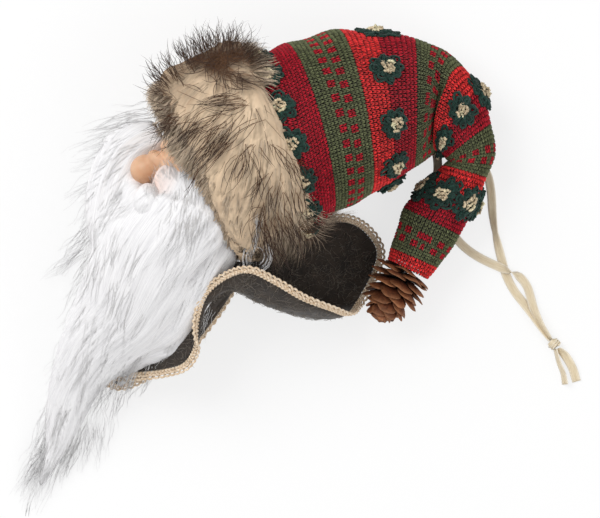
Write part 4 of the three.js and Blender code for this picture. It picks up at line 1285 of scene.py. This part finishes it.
def on_coat(lines, out):
    """Drops strands onto the undercoat, each step at most a little lower than the one before, and
    gives the way out of it at each step."""
    lines, out = lines.copy(), out.copy()
    for strand, line in enumerate(lines):
        for step, place in enumerate(line):
            x, y, _ = row(place)
            hit, normal, _, _ = coat.ray_cast((x, y, DROP_FROM), DOWN)
            if hit is not None:
                place[2] = hit.z / MM
                out[strand, step] = normal
            if step:
                before = line[step - 1]
                moved = np.linalg.norm(place[:2] - before[:2])
                if hit is None:
                    place[2] = max(before[2] - 0.6 * moved, STRAND_LOW)
                place[2] = max(place[2], before[2] - 1.1 * moved)
    return lines, out


def lay_locks(mass, clumps, strands, length, rng, levels, spread, draw, steps=7, seeds=None):
    """Locks that run with the guides over a mass, each strand waving within its lock."""
    if seeds is None:
        low, high = mass.edge.min(axis=0), mass.edge.max(axis=0)
        seeds = rng.uniform(low, high, (clumps * 12, 2))
        seeds = seeds[within(mass.edge, seeds)][:clumps]
    clumps = len(seeds)
    level = rng.uniform(*levels, clumps)
    pick = np.repeat(np.arange(clumps), strands)
    count = clumps * strands
    at = seeds[pick] + rng.normal(0, spread, (count, 2))
    long = length * rng.uniform(0.7, 1.25, clumps)[pick] * rng.uniform(0.8, 1.15, count) / (steps - 1)
    lean = rng.normal(0, 0.12, (clumps, 2))[pick] + rng.normal(0, 0.05, (count, 2))
    wave = rng.uniform(0, 2 * math.pi, clumps)[pick] + rng.normal(0, 0.4, count)
    layer = rng.uniform(0.1, 0.4, clumps)[pick] + rng.normal(0, 0.08, count)
    plan = [at]
    for step in range(1, steps):
        long = np.where(within(mass.edge, at), long, long * 0.45)
        way = spread_way(at, mass.at, mass.way, 4.0)[:, :2]
        turn = 0.2 * np.sin(wave + step * 1.1)
        way = np.column_stack([way[:, 0] - way[:, 1] * turn, way[:, 1] + way[:, 0] * turn]) + lean
        at = at + unit(way) * long[:, None]
        plan.append(at)
    plan = np.stack(plan, axis=1)
    centre = plan.reshape(clumps, strands, steps, 2).mean(axis=1)[pick]
    share = np.linspace(0, 1, steps)
    pull = (draw * share**1.2)[None, :, None]
    plan = plan * (1 - pull) + centre * pull
    height, out = mass.surface(plan.reshape(-1, 2), np.repeat(level[pick], steps))
    lines, out = np.dstack([plan, height.reshape(count, steps)]), out.reshape(count, steps, 3)
    if levels[1] > 0:
        lines, out = on_coat(lines, out)
    lines += out * (layer[:, None] - 1.0 * (1 - share) ** 2)[..., None]
    lines[..., 2] = np.maximum(lines[..., 2], STRAND_LOW)
    return lines, unit(out + 0.8 * UP)


def silk_piece(name, lines, nap, radii, stops, spread, rng):
    """Strands of the beard's pile as one object, coloured from root to tip."""
    shades = np.minimum(hair_shades(stops, lines.shape[1], len(lines), rng, spread), 0.98)
    nap, radii = np.broadcast_to(nap, lines.shape), np.broadcast_to(radii, lines.shape[:2])
    pile_piece(name, lines, nap, radii, shades, silk, "white_pile")


chance = np.random.default_rng(5)
SILK_RADII = np.array([0.03, 0.08, 0.1, 0.1, 0.08, 0.06, 0.02])
BEARD_LAYERS = [
    ("near_locks", near_mass, 66, 4, 34.0, (0.6, 1)),
    ("far_locks", far_mass, 40, 4, 26.0, (0.4, 1)),
    ("under_locks", near_mass, 26, 5, 40.0, (-1, 0.0)),
]
for name, hair, clumps, strands, length, levels in BEARD_LAYERS:
    lines, nap = lay_locks(hair, clumps, strands, length, chance, levels, spread=1.8, draw=0.3)
    stops = [(0, "EDEBEC"), (0.4, "F6F4F4"), (1, "FBFAFA")]
    silk_piece(f"beard_{name}", lines, nap, SILK_RADII, stops, 0.03, chance)

# Hair of the near cheek, close under the nose and the bridge, covers the plastic face.
CHEEK = [(166, 180), (178, 166), (198, 160), (214, 168), (226, 186), (232, 204), (206, 214), (180, 206), (168, 196)]
CHEEK_CLUMPS = 45
edge = closed_line(CHEEK)
seeds = chance.uniform(edge.min(axis=0), edge.max(axis=0), (1200, 2))
seeds = seeds[within(edge, seeds)][:CHEEK_CLUMPS]
lines, nap = lay_locks(near_mass, CHEEK_CLUMPS, 4, 15.0, chance, (0.95, 1), spread=1.4, draw=0.3, seeds=seeds)
stops = [(0, "F0E2DC"), (0.3, "F6F2F0"), (1, "FBFAFA")]
silk_piece("beard_cheek_locks", lines, nap, SILK_RADII, stops, 0.03, chance)

# Loose wisps stand off the beard's outline, wavy and single. Each, in the picture: where it leaves
# the beard, where it ends, how many strands, how far they spread and their height at the end.
WISPS = [
    (135, 118, 82, 135, 18, 5, 14), (128, 128, 73, 153, 18, 6, 12), (122, 145, 75, 165, 18, 6, 10),
    (112, 170, 68, 200, 16, 6, 6), (104, 195, 72, 228, 14, 5, 5), (98, 220, 62, 252, 12, 5, 4),
    (92, 235, 60, 272, 12, 5, 3), (84, 250, 46, 276, 12, 4, 2), (92, 262, 64, 300, 14, 5, 2),
    (84, 300, 58, 332, 14, 5, 2), (78, 340, 46, 372, 12, 5, 2), (66, 372, 38, 420, 14, 5, 1),
    (52, 420, 22, 478, 20, 6, 1), (46, 450, 16, 496, 20, 5, 1), (56, 455, 34, 508, 16, 5, 1),
    (70, 440, 58, 486, 16, 5, 1), (88, 430, 80, 472, 16, 5, 1), (100, 425, 98, 470, 14, 5, 1),
    (116, 398, 108, 432, 12, 5, 1), (134, 384, 122, 408, 12, 5, 3), (150, 370, 138, 398, 10, 4, 6),
    (176, 345, 168, 372, 10, 4, 12), (206, 312, 200, 340, 10, 4, 20), (150, 112, 112, 118, 14, 5, 18),
    (60, 428, 28, 486, 34, 8, 2), (68, 425, 42, 478, 34, 8, 3), (54, 440, 22, 494, 26, 7, 2),
    (78, 425, 60, 474, 20, 7, 2), (62, 432, 36, 490, 30, 6, 4), (70, 428, 48, 468, 26, 7, 5),
    (108, 378, 96, 415, 16, 6, 3), (124, 372, 112, 400, 14, 6, 5),
]
WISP_STEPS = 9
starts, ends = tufts_at(WISPS, 0.5, chance)
tips = np.repeat([float(tip) for *_, tip in WISPS], [wisp[4] for wisp in WISPS])[:, None]
one_each = (len(starts), 1)
share = np.linspace(0, 1, WISP_STEPS)
run = (ends - starts) * chance.uniform(0.55, 1.15, one_each)
side = unit(np.column_stack([-run[:, 1], run[:, 0]]))
deep = chance.uniform(0.3, 1.3, one_each)
wave = deep * np.sin(share * chance.uniform(5, 9, one_each) + chance.uniform(0, 6.3, one_each))
plan = starts[:, None] + run[:, None] * share[:, None] + side[:, None] * (wave * share**0.5)[..., None]
height, _ = near_mass.surface(starts, 0.5)
left = (1 - share) ** 1.3
height = np.minimum(height, 26)[:, None] * left + (tips + chance.uniform(0, 1.5, one_each)) * (1 - left)
lines = np.dstack([plan, np.maximum(height, STRAND_LOW)])
radii = np.interp(share, [0, 0.5, 1], [0.1, 0.09, 0.03])
silk_piece("beard_wisps", lines, UP, radii, [(0, "F8F7F7"), (1, "F0EFF0")], 0.05, chance)

# Beside the lace a few strands have curled round into a small open ring.
CURL_AT = (*seen(259, 256), 54.5)
CURL_COUNT = 13
CURL_STEPS = 12
RISING_COUNT = 18
share = np.linspace(0, 1, CURL_STEPS)
turned = np.linspace(math.radians(-70), math.radians(215), CURL_STEPS)
size = chance.normal(3.3, 1.1, (CURL_COUNT, 1)) * (1 + 0.35 * share**4)
x = CURL_AT[0] + chance.normal(0, 0.6, (CURL_COUNT, 1)) + size * np.cos(turned)
y = CURL_AT[1] + 1.2 * size * np.sin(turned)
curl = np.dstack([x, y, CURL_AT[2] + chance.normal(0, 0.4, (CURL_COUNT, 1)) + 0.8 * np.sin(turned)])
rising, tip = (
    np.column_stack([seen(*at) + chance.normal(0, loose, (RISING_COUNT, 2)), np.full(RISING_COUNT, high)])[:, None]
    for at, loose, high in (((254, 250), 0.9, 56.0), ((256, 217), 1.0, 71.0))
)
rising = rising + (tip - rising) * share[:, None] + [0.7, 0, 0] * np.sin(np.linspace(0, 3, CURL_STEPS))[:, None]
radii = np.interp(share, [0, 0.5, 1], [0.05, 0.09, 0.03])
silk_piece("beard_curl", np.vstack([curl, rising]), UP, radii, [(0, "F2F1F1"), (1, "F6F4F4")], 0.04, chance)

# Felt collar: a dished piece of charcoal wool felt, cut in two long lobes, with its hole under the
# neck. Pressed felt has no weave: it is dull, cloudy and covered with pale lint.
COLLAR_RIM = np.array([
    (-49.4, -77, 9), (-39, -75.8, 16.5), (-27.6, -74.4, 24), (-19, -71.5, 30), (-14.6, -64, 35),
    (-12.8, -54, 41), (-9, -44.5, 46), (-0.8, -38, 50), (7, -36, 52), (16.8, -40.4, 48),
    (27.2, -46.4, 41), (38, -50.4, 31), (45.5, -52.5, 18), (49.5, -48, 5.4), (56, -36, 4.6),
    (58, -27, 4.6), (52, -18.6, 5.4), (44, -15.6, 7), (34, -18.5, 6.4), (22, -26, 5.4),
    (10, -33, 6.2), (1, -41.2, 5.6), (-8, -54, 5), (-19, -67, 5.2), (-36, -77, 4.6),
    (-46.6, -80.4, 4.2),
])
FELT_THICK = 1.8
COLLAR_HOLE_R = 7.5
COLLAR_HOLE_WAY = math.radians(85)
NECK_WAY = math.radians(63)
NECK_CUT = -26  # from the middle of the head to its flat cut
NECK_DISC = 2
COLLAR_GAP = 0.6
BELLY = 18 * np.array([math.cos(math.radians(-80)), math.sin(math.radians(-80)), 0])


def rim_at(share):
    """Places on the rim, once round for a share of 1: a smooth closed line through its points."""
    count = len(COLLAR_RIM)
    along = np.asarray(share) % 1 * count
    i = np.floor(along).astype(int)
    t = (along - i)[..., None]
    a, b, c, d = (COLLAR_RIM[(i + k) % count] for k in (-1, 0, 1, 2))
    ab, bc, cd = (np.sqrt(np.linalg.norm(q - p, axis=-1))[..., None] for p, q in ((a, b), (b, c), (c, d)))
    leave = ((b - a) / ab - (c - a) / (ab + bc) + (c - b) / bc) * bc
    meet = ((c - b) / bc - (d - b) / (bc + cd) + (d - c) / cd) * bc
    return b + leave * t + (3 * (c - b) - 2 * leave - meet) * t**2 + (2 * (b - c) + leave + meet) * t**3


def collar_at(share, out):
    """The felt's middle: share of the way round, and out from its hole at 0 to its rim at 1."""
    share, out = np.broadcast_arrays(share, out)
    rim = rim_at(share)
    angle = np.radians(360 * share + 8)
    below = COLLAR_GAP + NECK_DISC + FELT_THICK / 2 + COLLAR_HOLE_R * math.sin(COLLAR_HOLE_WAY - NECK_WAY)
    foot = HEAD_HIGH * UP + (NECK_CUT - below) * np.array([math.cos(NECK_WAY), math.sin(NECK_WAY), 0])
    side = np.array([-math.sin(COLLAR_HOLE_WAY), math.cos(COLLAR_HOLE_WAY), 0])
    hole = foot + COLLAR_HOLE_R * (np.cos(angle)[..., None] * side + np.sin(angle)[..., None] * UP)
    near = step_up(rim[..., 2], 3, 30)
    belly = (hole + rim) / 2 + BELLY
    belly[..., 2] = rim[..., 2] * (1 - near) + (belly[..., 2] - 4) * near
    out = out[..., None]
    return hole * (1 - out) ** 2 + belly * 2 * out * (1 - out) + rim * out**2


def collar_normal(share, out):
    """The way out of the felt's upper face."""
    along = collar_at(share + 0.004, out) - collar_at(share - 0.004, out)
    away = collar_at(share, np.minimum(out + 0.004, 1)) - collar_at(share, out - 0.004)
    return unit(np.cross(away, along))


COLLAR_STEPS = 260
COLLAR_OUT = 26
share = (np.arange(COLLAR_STEPS) / COLLAR_STEPS)[:, None]
out = np.linspace(0.004, 1, COLLAR_OUT)[None]
sheet_middle = collar_at(share, out)
sheet_normal = collar_normal(share, out)
chance = np.random.default_rng(3)
rough = 0.16 * np.sin(share * 130 + 7 * out) * np.sin(out * 31 + 40 * share)
rough = rough + chance.normal(0, 0.05, sheet_middle.shape[:2])
thick = FELT_THICK / 2 * np.where(out > 0.99, 0.75, 1.0)
above = sheet_middle + sheet_normal * (thick + rough)[..., None]
below = sheet_middle - sheet_normal * (thick - rough)[..., None]
loop = np.concatenate([above, below[:, ::-1]], axis=1)
loop[..., 2] = np.maximum(loop[..., 2], 0.3)
walls = ring_faces(1, COLLAR_STEPS, 2 * COLLAR_OUT)[0]
closing = np.arange(2 * COLLAR_OUT)
last = (COLLAR_STEPS - 1) * 2 * COLLAR_OUT + closing
closing = np.stack([last, np.roll(last, -1), np.roll(closing, -1), closing], axis=1)
flat_uv = np.dstack(np.broadcast_arrays(share, np.concatenate([out[0], out[0][::-1]])))
felt_piece = mesh_piece("collar", loop.reshape(-1, 3), [np.vstack([walls, closing])], uv=flat_uv.reshape(-1, 2))

felt = mottled(
    "charcoal wool felt", 6, 6.0, [(0.35, "1E1813"), (0.65, "382E25")], (0.7, 3.0, 0.0, 0.5, 0.0004),
    rough=0.7, Roughness=0.95, Sheen_Weight=0.3,
)
dress(felt_piece, felt, "charcoal_felt", "collar_felt")

# Crochet edging: three natural cotton yarns plaited along the felt's edge, with a row of small loops
# outside them.
LACE_FROM = 0.15
LACE_TURNS = 128
LACE_YARN_R = 0.5
share = np.linspace(0, 1, LACE_TURNS * 8, endpoint=False)
edge = collar_at(share, 1.0)
along = unit(collar_at(share + 0.002, 1.0) - collar_at(share - 0.002, 1.0))
away = edge - collar_at(share, 0.75)
away = unit(away - (away * along).sum(axis=1)[:, None] * along)
up = np.cross(away, along)
turn = 2 * math.pi * share * LACE_TURNS
yarns = []  # of each: how far it runs outside the edge, and above it
for phase in range(3):
    swing = turn / 2 + phase * 2 * math.pi / 3
    yarns.append((LACE_FROM + 1.0 + 0.75 * np.sin(swing), 0.4 * np.sin(2 * swing)))
yarns.append((LACE_FROM + 2.3 + 0.75 * np.abs(np.sin(turn / 2)), 0.3 * np.sin(turn)))
lace_lines = [edge + away * out[:, None] + up * rise[:, None] for out, rise in yarns]
closed = np.stack([np.vstack([line, line[:1]]) for line in lace_lines])
points, faces = tubes(closed, np.full(closed.shape[:2], LACE_YARN_R), 6)
points[:, 2] = np.maximum(points[:, 2], 0.1)
lace = mesh_piece("collar_crochet", points, faces)
# Undyed cotton, dull and slightly hairy; it is paler where its twist turns to the light.
cotton = mottled(
    "natural cotton crochet yarn", 0.9, 3.0, [(0.3, "CBAE8B"), (0.7, "F4E4CE")], Roughness=0.85, Sheen_Weight=0.2
)
dress(lace, cotton, "crochet_lace", "collar_lace")

# Lint: pale wool fibres stand loose on the felt, thickest inside the far lobe.
chance = np.random.default_rng(17)
count = 3600
LINT_STEPS = 4
share = np.concatenate([chance.uniform(0, 1, count // 2), chance.uniform(0.28, 0.62, count // 2)])
out = chance.uniform(0.3, 0.98, count)
side = np.where(chance.random(count) < 0.6, 1.0, -1.0)[:, None]
start = collar_at(share, out) + collar_normal(share, out) * (FELT_THICK / 2 - 0.1) * side
way = unit(chance.normal(0, 1, (count, 3)))
facing = collar_normal(share, out) * side
way = unit(way - (way * facing).sum(axis=1)[:, None] * facing * 0.9)
bend = unit(np.cross(way, facing)) * chance.normal(0, 0.5, (count, 1))
reach = chance.uniform(1.5, 4.0, (count, 1))
lines = []
for t in np.linspace(0, 1, LINT_STEPS):
    lines.append(start + way * reach * t + bend * reach * t * t + facing * (0.15 + 1.0 * t * (1 - t)))
lines = np.stack(lines, axis=1)
radii = np.array([0.04, 0.08, 0.08, 0.03]) * np.ones((count, 1))
shades = hair_shades([(0, "524A3F"), (1, "7C7062")], LINT_STEPS, count, chance, 0.3)
fibres = strand_piece("collar_lint", lines, radii, shades)
lint_wool, tree, surface = finish_named("pale lint fibres", Roughness=0.9, Sheen_Weight=0.2)
shade = put(tree, "ShaderNodeAttribute", attribute_name="yarn")
tree.links.new(shade.outputs["Color"], surface.inputs["Base Color"])
dress(fibres, lint_wool, "charcoal_felt")

# Face: moulded, skin-coloured plastic in one with its round nose, glued into the foam head. The
# bridge over the nose is wrinkled. Only the nose and this bridge show between fur and beard.
NOSE = np.array([-34.0, 5.2, 37.5])
FACE_LUMPS = [  # middle, half its sizes, degrees it is turned
    ((0, 0, HEAD_HIGH), (30.2, 30.2, 30.2), 0), (NOSE, (6.4, 6.1, 6.2), 0), ((-28.2, 8.6, 42.5), (6.0, 3.2, 4.4), -38),
    ((-23.4, 12.6, 46.5), (5.6, 3.4, 5.0), -40), ((-20.0, 16.0, 51.0), (4.8, 3.4, 4.6), -40),
]
FACE_EDGE = (-15.5, 4.2, HEAD_HIGH)
FACE_WAY = (math.cos(math.radians(165)), math.sin(math.radians(165)), 0)
lumps = [ball(centre, size, 48, 32, turned) for centre, size, turned in FACE_LUMPS]
face = lumps[0]
join_to(face, lumps[1:])
face.name = "face_with_nose"
face.select_set(True)
apply_place()
bpy.ops.object.mode_set(mode="EDIT")
bpy.ops.mesh.select_all(action="SELECT")
bpy.ops.mesh.bisect(plane_co=row(FACE_EDGE), plane_no=FACE_WAY, clear_inner=True, use_fill=True)
bpy.ops.object.mode_set(mode="OBJECT")
change(face, "REMESH", mode="VOXEL", voxel_size=0.7 * MM)
change(face, "SMOOTH", factor=0.5, iterations=9)
smooth_shade(face)
# Plastic with a soft, satin surface that lets a little light in; fine creases are drawn 1 mm apart.
skin = mottled(
    "moulded skin-coloured plastic", 9, 2.0, [(0.3, "CC9C78"), (0.7, "DEB594")], (3, 3.0, 1.5, 0.35, 0.0008),
    Roughness=0.42, IOR=1.5, Subsurface_Weight=0.06, Subsurface_Scale=0.002, Specular_IOR_Level=0.35,
)
dress(face, skin, "moulded_face", "face_mask")

# Eyes: two small dark glass beads with a flat back, glued into the face. They shine, as glass does.
BEAD_BACK = 1.0  # from the bead's middle to its flat back
BEAD_BEVEL = 0.25
glass = mottled(
    "dark glass bead", 3, 2.0, [(0.3, "0A0C10"), (0.7, "1C2128")], Roughness=0.06, IOR=1.52, Coat_Weight=0.5
)
for node in ("eye_left", "eye_right"):
    low, high = (np.array(corner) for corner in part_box(node))
    middle = (low + high) / 2
    bpy.ops.mesh.primitive_uv_sphere_add(segments=40, ring_count=24, radius=(high - low).max() / 2, location=middle)
    eye = bpy.context.object
    eye.name = node + "_bead"
    apply_place()
    ahead = unit(middle / MM - [*HEAD_SHIFT / MM, HEAD_HIGH])
    bpy.ops.object.mode_set(mode="EDIT")
    bpy.ops.mesh.select_all(action="SELECT")
    bpy.ops.mesh.bisect(plane_co=middle - ahead * BEAD_BACK * MM, plane_no=ahead, clear_inner=True, use_fill=True)
    bpy.ops.mesh.bevel(offset=BEAD_BEVEL * MM, segments=3, affect="EDGES")
    bpy.ops.object.mode_set(mode="OBJECT")
    smooth_shade(eye)
    dress(eye, glass, "glass_bead", node)

# The beard begins with short down on the face itself, so that its edge beside the nose is soft.
DOWN_EDGE = smoothed([seen(*p) for p in [(149, 186), (153, 172), (163, 163), (176, 162), (188, 170)]], 60)
DOWN_COUNT = 90
DOWN_STEPS = 6
DOWN_LOW = 38  # where nothing lies under a hair
DOWN_NAP = [-0.2, 0.1, 0.95]
face_tree = tree_of([face])
chance = np.random.default_rng(9)
start = DOWN_EDGE[chance.integers(0, len(DOWN_EDGE), DOWN_COUNT)] + chance.normal(0, 0.8, (DOWN_COUNT, 2))
way = unit(np.column_stack([chance.normal(0.4, 0.25, DOWN_COUNT), chance.normal(-1, 0.2, DOWN_COUNT)]))
way = way * chance.uniform(3.5, 9, (DOWN_COUNT, 1))
share = np.linspace(0, 1, DOWN_STEPS)
plan = bowed(start, way, share, chance)
height = np.zeros(plan.shape[:2])
for strand, step in np.ndindex(*height.shape):
    x, y, _ = row([*plan[strand, step], 0])
    hits = [under.ray_cast((x, y, DROP_FROM), DOWN)[0] for under in (face_tree, coat)]
    height[strand, step] = max([hit.z / MM for hit in hits if hit is not None], default=DOWN_LOW)
lines = np.dstack([plan, height + 0.1 + 0.5 * np.sin(math.pi * share * 0.8)])
radii = np.interp(share, [0, 0.5, 1], [0.03, 0.07, 0.02])
stops = [(0, "F2E6E0"), (0.4, "F8F5F4"), (1, "FBFAFA")]
silk_piece("beard_down", lines, DOWN_NAP, radii, stops, 0.03, chance)

# Pine cone: a small real cone, open, glued and wired into the tip of the hat. Its wooden scales stand
# in a spiral, wide open at its base and closing towards its tip. One scale is modelled and set out.
CONE_WAY = np.array([math.cos(math.radians(-121)), math.sin(math.radians(-121)), 0])
CONE_BASE = np.array([70, -34.6, 15.4]) - 1.5 * CONE_WAY
CONE_LONG = 27.0
CONE_SCALES = 58
SPIRAL_STEP = math.radians(137.508)
# The root colour is near-black as painted shade where the scales overlap; the paler rim is worn wood.
WOOD_AND_PAINTED_SHADE = ("120603", "62301A", "9A6844")  # at a scale's root, on its back and on its worn rim
bpy.ops.mesh.primitive_uv_sphere_add(segments=18, ring_count=10, radius=1)
scale = bpy.context.object
scale.name = "cone_scale_pattern"
bpy.ops.object.mode_set(mode="EDIT")
bpy.ops.mesh.select_all(action="SELECT")
bpy.ops.transform.resize(value=(0.52, 0.5, 0.07))
bpy.ops.transform.translate(value=(0, 0.5, 0))
bpy.ops.object.mode_set(mode="OBJECT")
pattern = np.array([vertex.co[:] for vertex in scale.data.vertices])
pattern_faces = [list(polygon.vertices) for polygon in scale.data.polygons]
bpy.ops.object.delete()
across, forth, thick = pattern.T
rim = np.clip(np.hypot(across / 0.52, (forth - 0.5) / 0.5), 0, 1) ** 3 * step_up(forth, 0.35, 0.8)
across = across * (0.35 + 0.65 * step_up(forth, 0.0, 0.6))
chance = np.random.default_rng(11)
over = np.cross(CONE_WAY, UP)
wood_and_shade = np.array([linear(colour)[:3] for colour in WOOD_AND_PAINTED_SHADE])
# Darker towards each scale's root: painted shade under the scales that overlap it.
body = wood_and_shade[0] + (wood_and_shade[1] - wood_and_shade[0]) * step_up(forth, 0.25, 0.75)[:, None]
wood_and_shade = body + (wood_and_shade[2] - body) * 0.75 * rim[:, None]
points, faces, shades = [], [], []
for number in range(CONE_SCALES):
    gone = (number + 0.5) / CONE_SCALES
    angle = number * SPIRAL_STEP
    away = UP * math.cos(angle) + over * math.sin(angle)
    tilt = math.radians(np.interp(gone, [0, 0.3, 0.6, 0.85, 1], [-6, 14, 34, 58, 80]) + chance.normal(0, 4))
    long = np.interp(gone, [0, 0.15, 0.5, 0.8, 1], [10.0, 12.6, 12.2, 9.0, 5.0]) * chance.uniform(0.93, 1.04)
    wide = np.interp(gone, [0, 0.3, 0.7, 1], [9.5, 10.5, 8.5, 4.5]) * chance.uniform(0.9, 1.08)
    ahead = away * math.cos(tilt) + CONE_WAY * math.sin(tilt)
    up = np.cross(np.cross(ahead, CONE_WAY), ahead)
    up /= np.linalg.norm(up)
    aside = np.cross(ahead, up)
    root = CONE_BASE + CONE_WAY * (1.5 + (CONE_LONG - 8.5) * gone) + away * 0.8
    bowl = 1.1 * (across / 0.52) ** 2 + 1.5 * forth**2 + 0.25 * np.sin(9 * across + number) * forth
    spot = root + aside * (across * wide)[:, None] + ahead * (forth * long)[:, None] + up * (thick * 9 + bowl)[:, None]
    faces += [[i + len(points) * len(pattern) for i in corners] for corners in pattern_faces]
    points.append(spot)
    shades.append(wood_and_shade * chance.uniform(0.8, 1.2))
points, shades = np.vstack(points), np.vstack(shades)
points[:, 2] = np.maximum(points[:, 2], 0.2)
fours = np.array([corners for corners in faces if len(corners) == 4])
threes = np.array([corners for corners in faces if len(corners) == 3])
shades = np.column_stack([shades, np.ones(len(shades))])
cone = mesh_piece("pinecone_open_scales", points, [fours, threes], shades)
# Dry wood, dull, with a darker grain drawn 0.8 mm apart and paler worn edges.
wood, _, _ = strand_finish(
    "dry pine cone wood", 1.6, 5.0, 0.6, (0.3, 0.7, 0.6, 1.3), (0.5, 0.0005), Roughness=0.62, Specular_IOR_Level=0.35
)
dress(cone, wood, "pinecone_scales", "pinecone", body="hat_tip")

# Inside the head and the hat: a ball of white foam, a card disc that closes the neck, and soft wire
# in three lengths that lets the hat be bent. Hardly any of it shows.
WIRES = ["hat_wire_body", "hat_wire_middle", "hat_wire_tip"]
INNER = [  # nodes, material, how rough and how metallic it is, its grain in millimetres, dull and lit
    (["head_core"], "white expanded foam", 0.9, 0.0, 2.2, "DCDAD4", "F0EEE8"),
    (["neck_disc"], "grey backing card", 0.85, 0.0, 1.4, "8A857C", "A39D92"),
    (WIRES, "dull galvanised wire", 0.45, 0.9, 1.8, "6E7072", "989A9C"),
]
for nodes, name, roughness, metal, grain, dull, lit in INNER:
    relief = (grain, 4.0, 0.0, 0.3, 0.0003)
    stuff = mottled(name, grain, 4.0, [(0.3, dull), (0.7, lit)], relief, Roughness=roughness, Metallic=metal)
    for node in nodes:
        inner = frame["nodes"][node]
        inner.data.materials.clear()
        inner.data.materials.append(stuff)
